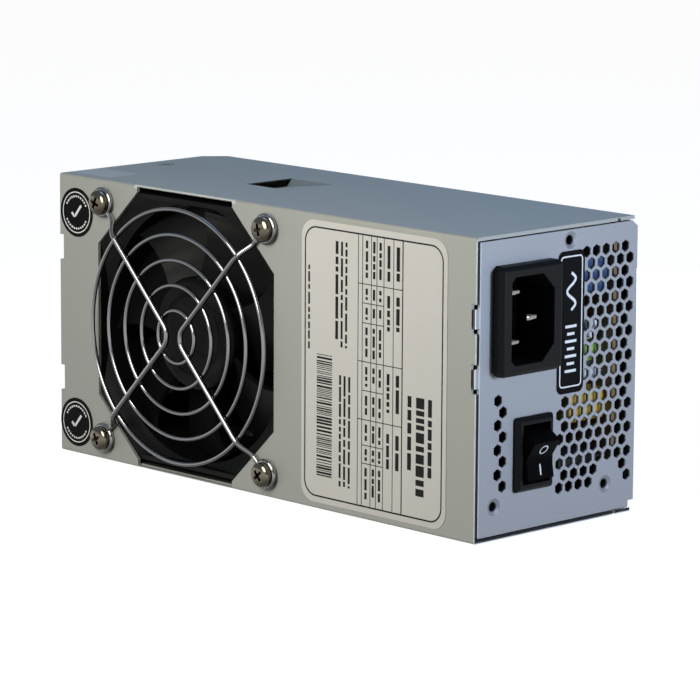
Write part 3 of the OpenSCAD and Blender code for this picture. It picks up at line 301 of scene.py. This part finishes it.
def makeFinish(name, look):
    material = bpy.data.materials.new(name)
    material.use_nodes = True
    tree = material.node_tree
    shader = tree.nodes["Principled BSDF"]
    shader.inputs["Metallic"].default_value = look["metal"]
    shader.inputs["Specular IOR Level"].default_value = look["specular"]
    shader.inputs["Coat Weight"].default_value = look["coat"]
    place = addNode(tree, "ShaderNodeTexCoord")
    centre = addNode(tree, "ShaderNodeMapping", values={"Location": surface["centre"]})
    effect = addNode(tree, "ShaderNodeGroup", {"node_tree": look["group"]})
    bump = addNode(tree, "ShaderNodeBump")
    bump.inputs["Strength"].default_value = look["bump"]
    bump.inputs["Distance"].default_value = surface["bumpDepth"]
    effect.inputs["Color"].default_value = (*look["colour"], 1)
    effect.inputs["Rough"].default_value = look["rough"]
    for key, value in look["inputs"].items():
        effect.inputs[key].default_value = value
    tree.links.new(place.outputs["Object"], centre.inputs["Vector"])
    tree.links.new(centre.outputs["Vector"], effect.inputs["Vector"])
    colour = effect.outputs["Color"]
    if look["places"]:
        places = addNode(tree, "ShaderNodeGroup", {"node_tree": look["places"]})
        tree.links.new(place.outputs["Object"], places.inputs["Vector"])
        colour = multiply(tree, colour, places.outputs["Tint"])
    # painted shade on undersides, read from the piece's attribute
    if look["worn"]:
        worn = addNode(tree, "ShaderNodeAttribute", {"attribute_name": look["worn"]})
        colour = brighten(tree, colour, worn.outputs["Fac"])
    tree.links.new(colour, shader.inputs["Base Color"])
    tree.links.new(effect.outputs["Rough"], shader.inputs["Roughness"])
    tree.links.new(effect.outputs["Height"], bump.inputs["Height"])
    tree.links.new(bump.outputs["Normal"], shader.inputs["Normal"])
    return material


finishes = {name: makeFinish(name, look) for name, look in looks.items()}
for name, obj in nodes.items():
    obj.data.materials.clear()
    obj.data.materials.append(finishes[slotOfNode[name]])
print("finishes made:", len(finishes))


# Piece helpers

soft = {"merge": 2e-6, "flatAngle": 0.4, "edgeAngle": 28, "shadeAngle": 50}
toFront = Matrix.Rotation(math.radians(90), 4, "X")  # turns local z to the outside of the fan face


def linkedObject(name, data):
    obj = bpy.data.objects.new(name, data)
    scene.collection.objects.link(obj)
    return obj


def addPiece(name, bm, body, slotName, replaced=(), finish=None, sharpAngle=35, weighted=False):
    mesh = bpy.data.meshes.new(name)
    for face in bm.faces:
        face.smooth = True
    bm.to_mesh(mesh)
    bm.free()
    mesh.set_sharp_from_angle(angle=math.radians(sharpAngle))
    mesh.materials.append(finishes[finish or slotName])
    obj = linkedObject(name, mesh)
    if weighted:
        even = obj.modifiers.new("evenShade", "WEIGHTED_NORMAL")
        even.keep_sharp = True
        even.weight = 100
    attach(obj, body)
    if replaced:
        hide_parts(*replaced)


def bevelEdges(bm, edges, width, segments):
    bmesh.ops.bevel(bm, geom=edges, offset=width * mm, offset_type="OFFSET", segments=segments, profile=0.5,
                    affect="EDGES", clamp_overlap=True, material=-1)


def softCopy(node, width, segments=2):
    # a merged copy of a CAD node with its sharp edges rounded
    bm = bmesh.new()
    bm.from_mesh(nodes[node].data)
    bmesh.ops.remove_doubles(bm, verts=bm.verts, dist=soft["merge"])
    bmesh.ops.dissolve_limit(bm, angle_limit=math.radians(soft["flatAngle"]), use_dissolve_boundaries=False,
                             verts=bm.verts, edges=bm.edges)
    if width:
        limit = math.radians(soft["edgeAngle"])
        sharp = [e for e in bm.edges if len(e.link_faces) == 2 and e.calc_face_angle(0) > limit]
        bevelEdges(bm, sharp, width, segments)
    return bm


def softNode(node, width, segments=2):
    first, *rest = node.split("_")
    name = first + "".join(word.capitalize() for word in rest)
    addPiece(name, softCopy(node, width, segments), bodyOfNode[node], slotOfNode[node], (node,),
             sharpAngle=soft["shadeAngle"], weighted=True)


def addBox(bm, centre, size, turn=None):
    place = Matrix.Translation(Vector(centre) * mm) @ (turn or Matrix.Identity(4))
    place = place @ Matrix.Diagonal((*(Vector(size) * mm), 1))
    return bmesh.ops.create_cube(bm, size=1, matrix=place)["verts"]


def rightWayOut(bm):
    bmesh.ops.recalc_face_normals(bm, faces=bm.faces)


def spinAll(bm, steps):
    # all that is in bm goes once round local z
    bmesh.ops.spin(bm, geom=bm.verts[:] + bm.edges[:], cent=(0, 0, 0), axis=(0, 0, 1), angle=math.tau,
                   steps=steps, use_merge=True)
    bmesh.ops.remove_doubles(bm, verts=bm.verts, dist=1e-6)


def spunMesh(profile, steps):
    # profile points (radius, height) in mm, from axis to axis
    bm = bmesh.new()
    verts = [bm.verts.new((r * mm, 0, h * mm)) for r, h in profile]
    for pair in zip(verts, verts[1:]):
        bm.edges.new(pair)
    spinAll(bm, steps)
    rightWayOut(bm)
    return bm


def joined(*parts):
    # several bmeshes in one
    whole = bmesh.new()
    for part in parts:
        held = bpy.data.meshes.new("held")
        part.to_mesh(held)
        part.free()
        whole.from_mesh(held)
        bpy.data.meshes.remove(held)
    return whole


def evaluatedMesh(obj):
    return bpy.data.meshes.new_from_object(obj.evaluated_get(bpy.context.evaluated_depsgraph_get()))


def roundedPath(points, radius, steps=5):
    # the points with each inner corner turned into a short arc
    path = [Vector(points[0])]
    for before, corner, after in zip(points, points[1:], points[2:]):
        a, c, b = Vector(before), Vector(corner), Vector(after)
        r = min(radius, (a - c).length * 0.45, (b - c).length * 0.45)
        start, end = c + (a - c).normalized() * r, c + (b - c).normalized() * r
        for i in range(steps + 1):
            t = i / steps
            path.append(start * (1 - t) ** 2 + c * 2 * t * (1 - t) + end * t ** 2)
    return path + [Vector(points[-1])]


def wireMesh(path, radius):
    # a round wire along a path in mm
    curve = bpy.data.curves.new("wirePath", "CURVE")
    curve.dimensions = "3D"
    curve.bevel_depth = radius * mm
    curve.bevel_resolution = 4
    curve.use_fill_caps = True
    spline = curve.splines.new("POLY")
    spline.points.add(len(path) - 1)
    for point, place in zip(spline.points, path):
        point.co = (*(Vector(place) * mm), 1)
    obj = linkedObject("wirePath", curve)
    mesh = evaluatedMesh(obj)
    bm = bmesh.new()
    bm.from_mesh(mesh)
    bmesh.ops.remove_doubles(bm, verts=bm.verts, dist=1e-6)
    bpy.data.objects.remove(obj)
    bpy.data.curves.remove(curve)
    bpy.data.meshes.remove(mesh)
    return bm


def raiseOutline(bm, stroke, height):
    # a flat face becomes a raised line of the given stroke along its rim
    inner = bm.faces[:]
    bmesh.ops.inset_individual(bm, faces=inner, thickness=stroke * mm, use_even_offset=True)
    bmesh.ops.delete(bm, geom=inner, context="FACES")
    made = bmesh.ops.extrude_face_region(bm, geom=bm.faces[:])["geom"]
    raised = [g for g in made if isinstance(g, bmesh.types.BMVert)]
    bmesh.ops.translate(bm, vec=(0, 0, height * mm), verts=raised)
    rightWayOut(bm)


def cutAway(bm, cutter):
    # bm less the cutter, both bmeshes
    pair = []
    for part in (bm, cutter):
        mesh = bpy.data.meshes.new("cutPart")
        part.to_mesh(mesh)
        part.free()
        pair.append(linkedObject("cutPart", mesh))
    cut = pair[0].modifiers.new("cut", "BOOLEAN")
    cut.object = pair[1]
    cut.operation = "DIFFERENCE"
    cut.solver = "EXACT"
    cut.use_self = True
    mesh = evaluatedMesh(pair[0])
    result = bmesh.new()
    result.from_mesh(mesh)
    for obj in pair:
        held = obj.data
        bpy.data.objects.remove(obj)
        bpy.data.meshes.remove(held)
    bpy.data.meshes.remove(mesh)
    return result


def paintShadeBelow(bm, dull, span=0.7):
    # painted shade: undersides are darkened, so the shine fades from top to bottom
    bm.normal_update()
    shine = bm.verts.layers.float.new("shine")
    for v in bm.verts:
        up = min(max(v.normal.z / span + 0.5, 0), 1)
        v[shine] = dull + (1 - dull) * up * up * (3 - 2 * up)


# Camera

view = {"target": (0, 0, 42.5), "azimuth": 45.909, "elevation": 10.304, "roll": 0.325, "distance": 1166.4,
        "slide": (-3.397, 3.888), "lens": 204.74, "sensor": 36, "clip": (0.05, 60)}


def addCamera():
    az, el, roll = (math.radians(view[k]) for k in ("azimuth", "elevation", "roll"))
    right = Vector((math.cos(az), math.sin(az), 0))
    back = Vector((math.sin(az) * math.cos(el), -math.cos(az) * math.cos(el), math.sin(el)))
    up = back.cross(right)
    c, s = math.cos(roll), math.sin(roll)
    turned = Matrix((c * right + s * up, c * up - s * right, back)).transposed()
    data = bpy.data.cameras.new("camera")
    data.lens = view["lens"]
    data.sensor_width = view["sensor"]
    data.clip_start, data.clip_end = view["clip"]
    slideX, slideY = view["slide"]
    place = Vector(view["target"]) + turned @ Vector((-slideX, -slideY, view["distance"]))
    obj = linkedObject("camera", data)
    obj.matrix_world = Matrix.Translation(place * mm) @ turned.to_4x4()
    scene.camera = obj


addCamera()
print("camera set")


# Case

# width of the rounded edges and how many steps they have
caseEdges = {"case_cover": (0.12, 2), "case_tray": (0.12, 2), "inlet_panel": (0.18, 2),
             "case_screws": (0.12, 2), "cable_grommet": (0.4, 3)}
for node, (width, segments) in caseEdges.items():
    softNode(node, width, segments)
print("case done")


# Fan and guard

fan = {"x": -31.4, "z": 42.5, "front": -31.5, "face": -32.53, "pitch": 71.5, "frameEdge": 0.3}
guard = {"rings": (37.6, 30.15, 22.7, 15.25, 7.8), "ringWire": 0.65, "strutWire": 0.8, "rise": 3,
         "loopR": 3.8, "bend": 2.2, "foot": 2.4, "past": 1, "waist": (3, 1.9), "weld": 0.25, "dull": 0.15}


def ringMesh(radius, wire, centre, steps):
    # a wire ring that stands parallel to the fan face
    bm = bmesh.new()
    stand = Matrix.Translation((radius * mm, 0, 0)) @ toFront
    bmesh.ops.create_circle(bm, cap_ends=False, radius=wire * mm, segments=14, matrix=stand)
    spinAll(bm, steps)
    bmesh.ops.transform(bm, matrix=Matrix.Translation(Vector(centre) * mm) @ toFront, verts=bm.verts)
    return bm


def addGuard():
    plane = fan["face"] - guard["rise"]
    low = fan["face"] - guard["strutWire"]
    high = plane - guard["ringWire"] - guard["strutWire"] + guard["weld"]
    half = fan["pitch"] / 2
    wires = [ringMesh(r, guard["ringWire"], (fan["x"], plane, fan["z"]), 120) for r in guard["rings"]]
    for i in (-1, 1):
        for k in (-1, 1):
            loop = (fan["x"] + i * half, low, fan["z"] + k * half)
            wires.append(ringMesh(guard["loopR"], guard["strutWire"], loop, 40))
    outer = half - guard["loopR"] / math.sqrt(2)
    inner = outer - guard["foot"]
    rim = guard["rings"][0] / math.sqrt(2) + guard["past"]
    waistX, waistZ = guard["waist"]
    upper = [(outer, low, outer), (inner, low, inner), (rim, high, rim), (waistX, high, waistZ)]
    line = upper + [(x, y, -z) for x, y, z in reversed(upper)]
    for side in (1, -1):
        path = [(fan["x"] + side * x, y, fan["z"] + z) for x, y, z in line]
        wires.append(wireMesh(roundedPath(path, guard["bend"]), guard["strutWire"]))
    whole = joined(*wires)
    rightWayOut(whole)
    # painted shade on the undersides of the wires
    paintShadeBelow(whole, guard["dull"])
    addPiece("fanGuard", whole, "unit", "guard_chrome", ("fan_guard",), sharpAngle=60)


# depths run inwards from the fan's front, root and tip are half a blade's width there
impeller = {"hubR": 17, "front": 2.2, "back": 15.6, "rim": 2.2, "wall": 1.48, "floor": 3.79,
            "groove": (11.2, 12.2, 0.3), "tipR": 37.1, "blades": 7, "root": 9.4, "tip": 12.5, "thick": 1.4,
            "sink": 0.7, "sweep": 0.22, "depth": 8.9, "lean": 5.0, "ease": 0.12, "bow": 0.7}


def addImpeller():
    r, front, back, rim, floor = (impeller[k] for k in ("hubR", "front", "back", "rim", "floor"))
    bore = r - impeller["wall"]
    near, far, deep = impeller["groove"]
    groove = [(near, front), (near + deep, front + deep), (far - deep, front + deep), (far, front)]
    turns = [math.radians(a) for a in range(0, 91, 15)]
    corner = [(r - rim + rim * math.sin(a), front + rim - rim * math.cos(a)) for a in turns]
    skirt = [(r, back), (bore, back), (bore, floor), (0, floor)]
    hub = spunMesh([(0, front)] + groove + corner + skirt, 72)
    blades = bmesh.new()
    start = r - impeller["sink"]
    for n in range(impeller["blades"]):
        for v in bmesh.ops.create_grid(blades, x_segments=12, y_segments=9, size=1)["verts"]:
            along, out = v.co.x, (v.co.y + 1) / 2  # -1 to 1 over the chord, 0 to 1 from root to tip
            radius = start + out * (impeller["tipR"] - start)
            half = impeller["root"] + (impeller["tip"] - impeller["root"]) * out
            angle = along * half / radius - impeller["sweep"] * out * out + n * math.tau / impeller["blades"]
            depth = impeller["depth"] + impeller["lean"] * along * (1 - impeller["ease"] * out)
            depth += impeller["bow"] * (1 - along * along)
            v.co = Vector((radius * math.cos(angle), radius * math.sin(angle), depth)) * mm
    bmesh.ops.solidify(blades, geom=blades.faces[:], thickness=impeller["thick"] * mm)
    rightWayOut(blades)
    whole = joined(hub, blades)
    place = Matrix.Translation(Vector((fan["x"], fan["front"], fan["z"])) * mm) @ toFront.inverted()
    bmesh.ops.transform(whole, matrix=place, verts=whole.verts)
    addPiece("fanImpeller", whole, "rotor", "blade_plastic", ("fan_impeller",), sharpAngle=40)


screw = {"headR": 3.7, "side": 0.75, "crown": 1.5, "swell": (0.8, 0.9), "edge": 0.2, "shankR": 2.1,
         "point": 0.6, "length": 10.8, "recess": (4.6, 1.2, 2.2), "recessAt": 1.9, "taper": 0.5,
         "seat": 0.03, "dull": 0.2, "turns": {(-1, -1): 24, (-1, 1): 68, (1, -1): 41, (1, 1): 12}}


def addFanScrews():
    head, side, crown, length = (screw[k] for k in ("headR", "side", "crown", "length"))
    turns = [math.radians(a) for a in range(10, 90, 10)]
    swellOut, swellUp = screw["swell"]
    dome = [(head * math.sin(a) ** swellOut, side + crown * math.cos(a) ** swellUp) for a in turns]
    edge = [(head, 3 * screw["edge"]), (head, screw["edge"]), (head - screw["edge"], 0)]
    shankR, point = screw["shankR"], screw["point"]
    shank = [(shankR, 0), (shankR, point - length), (shankR - point, -length), (0, -length)]
    half = fan["pitch"] / 2
    whole = []
    for (i, k), turn in screw["turns"].items():
        cutter = bmesh.new()
        for angle in (0, 90):
            spread = Matrix.Rotation(math.radians(angle + turn), 4, "Z")
            for v in addBox(cutter, (0, 0, screw["recessAt"]), screw["recess"], spread):
                if v.co.z < screw["recessAt"] * mm:
                    v.co.x *= screw["taper"]
                    v.co.y *= screw["taper"]
        rightWayOut(cutter)
        bm = cutAway(spunMesh([(0, side + crown)] + dome + edge + shank, 48), cutter)
        seat = fan["face"] - 2 * guard["strutWire"] - screw["seat"]
        place = Matrix.Translation(Vector((fan["x"] + i * half, seat, fan["z"] + k * half)) * mm)
        bmesh.ops.transform(bm, matrix=place @ toFront, verts=bm.verts)
        whole.append(bm)
    screws = joined(*whole)
    # painted shade on the undersides of the screw heads
    paintShadeBelow(screws, screw["dull"])
    addPiece("fanScrews", screws, "unit", "screw_gold", ("fan_screws",), sharpAngle=32)


softNode("fan_frame", fan["frameEdge"])
addGuard()
addImpeller()
addFanScrews()
print("fan done")


# Mains inlet and switch

inlet = {"edge": 0.3, "pinTip": 0.75, "pinFrom": 86}
switch = {"edge": 0.25, "rockerEdge": 0.4, "pivot": (84.5, -9.8, 22.8), "tilt": 12, "facet": (2.1, 5.5),
          "markAt": (7.12, 2.95), "ringR": 1.55, "stroke": 0.38, "bar": (0.5, 3.1), "barEnd": 0.2,
          "ink": 0.05}


def addPins():
    # only the tips of the three pins are drawn in
    bm = softCopy("inlet_pins", 0)
    reach = inlet["pinFrom"] * mm
    tips = [f for f in bm.faces if f.normal.x > 0.99 and f.calc_center_median().x > reach]
    bevelEdges(bm, list({e for f in tips for e in f.edges}), inlet["pinTip"], 4)
    addPiece("inletPins", bm, "unit", "pin_metal", ("inlet_pins",), sharpAngle=soft["shadeAngle"],
             weighted=True)


def addSwitchMarks():
    tilt = Matrix.Rotation(math.radians(switch["tilt"]), 4, "Y")
    pivot = Matrix.Translation(Vector(switch["pivot"]) * mm) @ tilt
    lean = math.atan2(*switch["facet"])
    out, up = switch["markAt"]
    ring = bmesh.new()
    bmesh.ops.create_circle(ring, cap_ends=True, radius=switch["ringR"] * mm, segments=40)
    raiseOutline(ring, switch["stroke"], switch["ink"])
    wide, tall = switch["bar"]
    bar = bmesh.new()
    addBox(bar, (0, 0, switch["ink"] / 2), (tall, wide, switch["ink"]))
    upright = [e for e in bar.edges if abs(e.verts[0].co.z - e.verts[1].co.z) > 1e-6]
    bevelEdges(bar, upright, switch["barEnd"], 3)
    for mark, side in ((ring, 1), (bar, -1)):
        face = Matrix.Rotation(math.radians(90) + side * lean, 4, "Y")
        place = Matrix.Translation(Vector((out, 0, side * up)) * mm) @ face
        bmesh.ops.transform(mark, matrix=pivot @ place, verts=mark.verts)
    addPiece("switchMarks", joined(ring, bar), "rocker", "rocker_plastic", finish="inkWhite")


softNode("inlet_housing", inlet["edge"], 3)
addPins()
softNode("switch_housing", switch["edge"], 3)
softNode("switch_rocker", switch["rockerEdge"], 3)
addSwitchMarks()
print("inlet and switch done")


# Labels and their plain print

label = {"edge": 0.04, "face": -32.65, "voltFace": 87.65, "ink": 0.03}
frontPlace = Matrix.Translation((0, label["face"] * mm, 0)) @ toFront
toEnd = Matrix(((0, 0, 1), (1, 0, 0), (0, 1, 0))).to_4x4()  # on the inlet panel y is across and z is up
endPlace = Matrix.Translation((label["voltFace"] * mm, 0, 0)) @ toEnd
for node in ("rating_label", "voltage_label", "round_stickers"):
    softNode(node, label["edge"], 1)


class Print:
    # flat marks drawn in (across, up) on a face, a hair proud of it
    def __init__(self, place):
        self.bm = bmesh.new()
        self.place = place

    def bar(self, x0, x1, y0, y1, turn=0):
        spin = Matrix.Rotation(math.radians(turn), 4, "Z")
        ink = label["ink"]
        addBox(self.bm, ((x0 + x1) / 2, (y0 + y1) / 2, ink / 2), (x1 - x0, y1 - y0, ink), spin)

    def frameLine(self, x0, x1, y0, y1, radius, stroke):
        part = bmesh.new()
        size = Matrix.Diagonal(((x1 - x0) * mm, (y1 - y0) * mm, 1, 1))
        place = Matrix.Translation(Vector((x0 + x1, y0 + y1, 0)) * mm / 2) @ size
        bmesh.ops.create_grid(part, x_segments=1, y_segments=1, size=0.5, matrix=place)
        bmesh.ops.bevel(part, geom=part.verts[:], offset=radius * mm, offset_type="OFFSET", segments=8,
                        profile=0.5, affect="VERTICES", material=-1)
        self.outline(part, stroke)

    def circleLine(self, x, y, radius, stroke):
        part = bmesh.new()
        place = Matrix.Translation((x * mm, y * mm, 0))
        bmesh.ops.create_circle(part, cap_ends=True, radius=radius * mm, segments=64, matrix=place)
        self.outline(part, stroke)

    def outline(self, part, stroke):
        raiseOutline(part, stroke, label["ink"])
        self.bm = joined(self.bm, part)

    def finish(self, name, slotName, ink):
        bmesh.ops.transform(self.bm, matrix=self.place, verts=self.bm.verts)
        addPiece(name, self.bm, "unit", slotName, finish=ink)


headSpans = ((79, 69), (65, 55), (43, 32), (26, 16))
cellSpans = ((79.5, 69), (66, 62.8), (60.6, 57.2), (55, 46.4), (43.8, 38.2), (35.6, 30), (27.4, 22.4),
             (20.4, 17), (15, 6))
rating = {
    "frame": (20.1, 75.2, 3.6, 81.3), "frameR": 4.6, "stroke": 0.45, "hair": 0.12,
    "headLine": (59.2, 59.6, 3.8, 81.1),
    "columns": (41.8, 43.5, 47.0, 49.2, 52.0, 55.8), "columnEnds": (3.9, 81.0),
    "longRows": (67.2, 45.2, 28.7), "longEnds": (41.8, 59.4),
    "shortRows": (61.8, 56.2, 37.0, 21.4, 16.2), "shortEnds": (43.5, 52.0),
    # rows of blank word blocks: where across, how tall, from and to, longest block
    "words": (
        ((34.7, 36.5, 38.4), 0.8, ((40, 8),), 6.0),
        ((33.2,), 1.1, ((78, 50),), 7),
        ((35.2, 37.0), 0.8, ((78, 48),), 6.0),
        ((57.6,), 1.3, headSpans, 7),
        ((53.9,), 1.1, headSpans, 7),
        ((50.6, 48.1, 45.2), 0.9, cellSpans, 3.4),
        ((62.4,), 1.5, ((38, 16),), 5),
        ((66.6,), 3.2, ((38, 10),), 3.4),
        ((70.4,), 1.5, ((38, 16),), 5),
        ((21.9,), 0.7, ((70, 46),), 4),
    ),
    "shortest": 1.2, "least": 0.6, "space": (0.5, 0.9),
    "bars": (25.2, 31.4), "barsFrom": 45.0, "barsTo": 10, "thick": (0.22, 0.22, 0.4, 0.6),
    "gaps": (0.25, 0.3, 0.5),
}


def addRatingPrint():
    # the label is read from its right edge, so its rows run along z
    ink = Print(frontPlace)
    draw = random.Random(7)
    hair = rating["hair"]
    ink.frameLine(*rating["frame"], rating["frameR"], rating["stroke"])
    ink.bar(*rating["headLine"])
    for x in rating["columns"]:
        ink.bar(x - hair, x + hair, *rating["columnEnds"])
    for rows, ends in (("longRows", "longEnds"), ("shortRows", "shortEnds")):
        for z in rating[rows]:
            ink.bar(*rating[ends], z - hair, z + hair)

    def words(x, tall, zFrom, zTo, longest):
        z = zFrom
        while z > zTo:
            size = min(draw.uniform(rating["shortest"], longest), z - zTo)
            if size > rating["least"]:
                ink.bar(x - tall / 2, x + tall / 2, z - size, z)
            z -= size + draw.uniform(*rating["space"])

    for places, tall, spans, longest in rating["words"]:
        for x in places:
            for zFrom, zTo in spans:
                words(x, tall, zFrom, zTo, longest)
    z = rating["barsFrom"]
    while z > rating["barsTo"]:
        thick = draw.choice(rating["thick"])
        ink.bar(*rating["bars"], z - thick, z)
        z -= thick + draw.choice(rating["gaps"])
    ink.finish("ratingPrint", "label_paper", "inkDark")


voltage = {"frame": (0.75, 9.75, 39.2, 76.3), "frameR": 1.3, "stroke": 0.42, "middle": 5.2, "waveTop": 71.5,
           "waveLong": 10.5, "waveWide": 1.7, "waves": 1.5, "waveSteps": 24, "waveRise": 0.02,
           "flatten": 0.1, "bars": (4.6, 3.0, 4.6, 3.0, 4.6, 3.0, 4.6), "barsTop": 56.4, "barStep": 2.1,
           "barHalf": 0.4}


def addVoltagePrint():
    ink = Print(endPlace)
    ink.frameLine(*voltage["frame"], voltage["frameR"], voltage["stroke"])
    middle = voltage["middle"]
    path = []
    for k in range(voltage["waveSteps"] + 1):
        t = k / voltage["waveSteps"]
        across = middle + voltage["waveWide"] * math.sin(t * math.tau * voltage["waves"])
        path.append((across, voltage["waveTop"] - t * voltage["waveLong"], voltage["waveRise"]))
    wave = wireMesh(path, voltage["stroke"])
    bmesh.ops.scale(wave, vec=(1, 1, voltage["flatten"]), verts=wave.verts)
    ink.bm = joined(ink.bm, wave)
    for k, size in enumerate(voltage["bars"]):
        z = voltage["barsTop"] - voltage["barStep"] * k
        ink.bar(middle - size / 2, middle + size / 2, z - voltage["barHalf"], z + voltage["barHalf"])
    ink.finish("voltagePrint", "label_black", "inkWhite")


sticker = {"places": ((-79.7, 73.8), (-80.2, 9.6)), "ringR": 6.3, "stroke": 0.32,
           "tick": ((-2.4, -0.7, -1.15, -0.35, -45), (-1.6, 3.0, 0.1, 0.9, 50)),
           "dotsR": 4.9, "dot": (0.33, 0.28), "dotTurns": [*range(-60, 61, 12), *range(120, 241, 12)]}


def addStickerPrint():
    # a tick inside a ring, with two bows of dots
    ink = Print(frontPlace)
    dotX, dotZ = sticker["dot"]
    for x, z in sticker["places"]:
        ink.circleLine(x, z, sticker["ringR"], sticker["stroke"])
        for x0, x1, z0, z1, turn in sticker["tick"]:
            ink.bar(x + x0, x + x1, z + z0, z + z1, turn)
        for turn in sticker["dotTurns"]:
            a = math.radians(turn)
            cx, cz = x + sticker["dotsR"] * math.sin(a), z + sticker["dotsR"] * math.cos(a)
            ink.bar(cx - dotX, cx + dotX, cz - dotZ, cz + dotZ, -turn)
    ink.finish("stickerPrint", "label_black", "inkWhite")


addRatingPrint()
addVoltagePrint()
addStickerPrint()
print("labels done")


# Board parts inside, with the width of their rounded edges

inside = {
    "main_board": 0.15, "insulation_sheet": 0.05, "standoffs": 0.15, "board_screws": 0.2,
    "primary_heatsink": 0.2, "secondary_heatsink": 0.2, "power_transistors": 0.2, "output_rectifiers": 0.2,
    "device_screws": 0.2, "bulk_capacitors": 0.6, "output_capacitors": 0.4, "main_transformer": 0.4,
    "transformer_winding": 0.8, "standby_transformer": 0.6, "x_capacitor": 0.8, "y_capacitors": 0.9,
    "thermistor": 1.0, "varistor": 1.0, "fuse_clips": 0.15, "bridge_rectifier": 0.4, "control_chip": 0.25,
    "earth_nut": 0.25, "fan_plug": 0.3,
}
for node, width in inside.items():
    softNode(node, width)
print("board parts done:", len(inside))


# Floor, light and background

studio = {"floor": 0.14, "floorR": 9, "floorRough": 0.9, "glow": 0.95, "ambient": (0.135, 0.15, 0.17),
          "room": (0.2, 0.235, 0.28), "white": (1.0, 1.0, 1.0), "horizon": (0.02, 0.2), "aim": (0, 0, 0.04)}
lamps = {
    "frontLamp": {"place": (0.015, -0.3, 0.185), "size": 0.22, "power": 0.84, "colour": (1.0, 0.985, 0.92)},
    "endLamp": {"place": (0.3, 0.03, 0.09), "size": 0.05, "power": 0.465, "colour": (0.66, 0.79, 1.0)},
    "backLamp": {"place": (-0.2, 0.36, 0.04), "size": 0.08, "power": 1.0, "colour": (0.8, 0.88, 1.0)},
    "topLamp": {"place": (-0.2, 0.45, 0.7), "size": 0.5, "power": 2.1, "colour": (0.2, 0.49, 1.0)},
}


def addFloor():
    bm = bmesh.new()
    bmesh.ops.create_circle(bm, cap_ends=True, radius=studio["floorR"], segments=64)
    mesh = bpy.data.meshes.new("floor")
    bm.to_mesh(mesh)
    bm.free()
    material = bpy.data.materials.new("paleFloor")
    material.use_nodes = True
    tree = material.node_tree
    shader = tree.nodes["Principled BSDF"]
    shade = studio["floor"]
    shader.inputs["Base Color"].default_value = (shade, shade, shade, 1)
    shader.inputs["Roughness"].default_value = studio["floorRough"]
    shader.inputs["Specular IOR Level"].default_value = 0
    shader.inputs["Emission Color"].default_value = (*studio["white"], 1)
    # it glows only for camera, mirror and glass rays
    path = addNode(tree, "ShaderNodeLightPath")
    direct = maths(tree, "MAXIMUM", path.outputs["Is Camera Ray"], path.outputs["Is Glossy Ray"])
    direct = maths(tree, "MAXIMUM", direct, path.outputs["Is Transmission Ray"])
    tree.links.new(maths(tree, "MULTIPLY", direct, studio["glow"]), shader.inputs["Emission Strength"])
    mesh.materials.append(material)
    linkedObject("floor", mesh)


def addLight():
    for name, lamp in lamps.items():
        data = bpy.data.lights.new(name, "AREA")
        data.shape = "DISK"
        data.size = lamp["size"]
        data.energy = lamp["power"]
        data.color = lamp["colour"]
        place = Vector(lamp["place"])
        aim = (place - Vector(studio["aim"])).to_track_quat("Z", "Y")
        linkedObject(name, data).matrix_world = Matrix.Translation(place) @ aim.to_matrix().to_4x4()


def addWorld():
    # white behind and below, a dimmer room above for what shines, and a low fill for everything else
    world = bpy.data.worlds.new("paleRoom")
    scene.world = world
    world.use_nodes = True
    tree = world.node_tree
    path = addNode(tree, "ShaderNodeLightPath")
    place = addNode(tree, "ShaderNodeTexCoord")
    split = addNode(tree, "ShaderNodeSeparateXYZ")
    tree.links.new(place.outputs["Generated"], split.inputs[0])
    low, high = studio["horizon"]
    rise = addNode(tree, "ShaderNodeMapRange", {"interpolation_type": "SMOOTHSTEP"},
                   {"From Min": low, "From Max": high})
    tree.links.new(split.outputs["Z"], rise.inputs["Value"])
    shine = mixColour(tree, rise.outputs["Result"], studio["white"], studio["room"])
    plain = mixColour(tree, path.outputs["Is Glossy Ray"], studio["ambient"], shine)
    direct = maths(tree, "MAXIMUM", path.outputs["Is Camera Ray"], path.outputs["Is Transmission Ray"])
    background = mixColour(tree, direct, plain, studio["white"])
    tree.links.new(background, tree.nodes["Background"].inputs["Color"])


addFloor()
addLight()
addWorld()
scene.view_settings.view_transform = "Standard"
print("floor and light done")
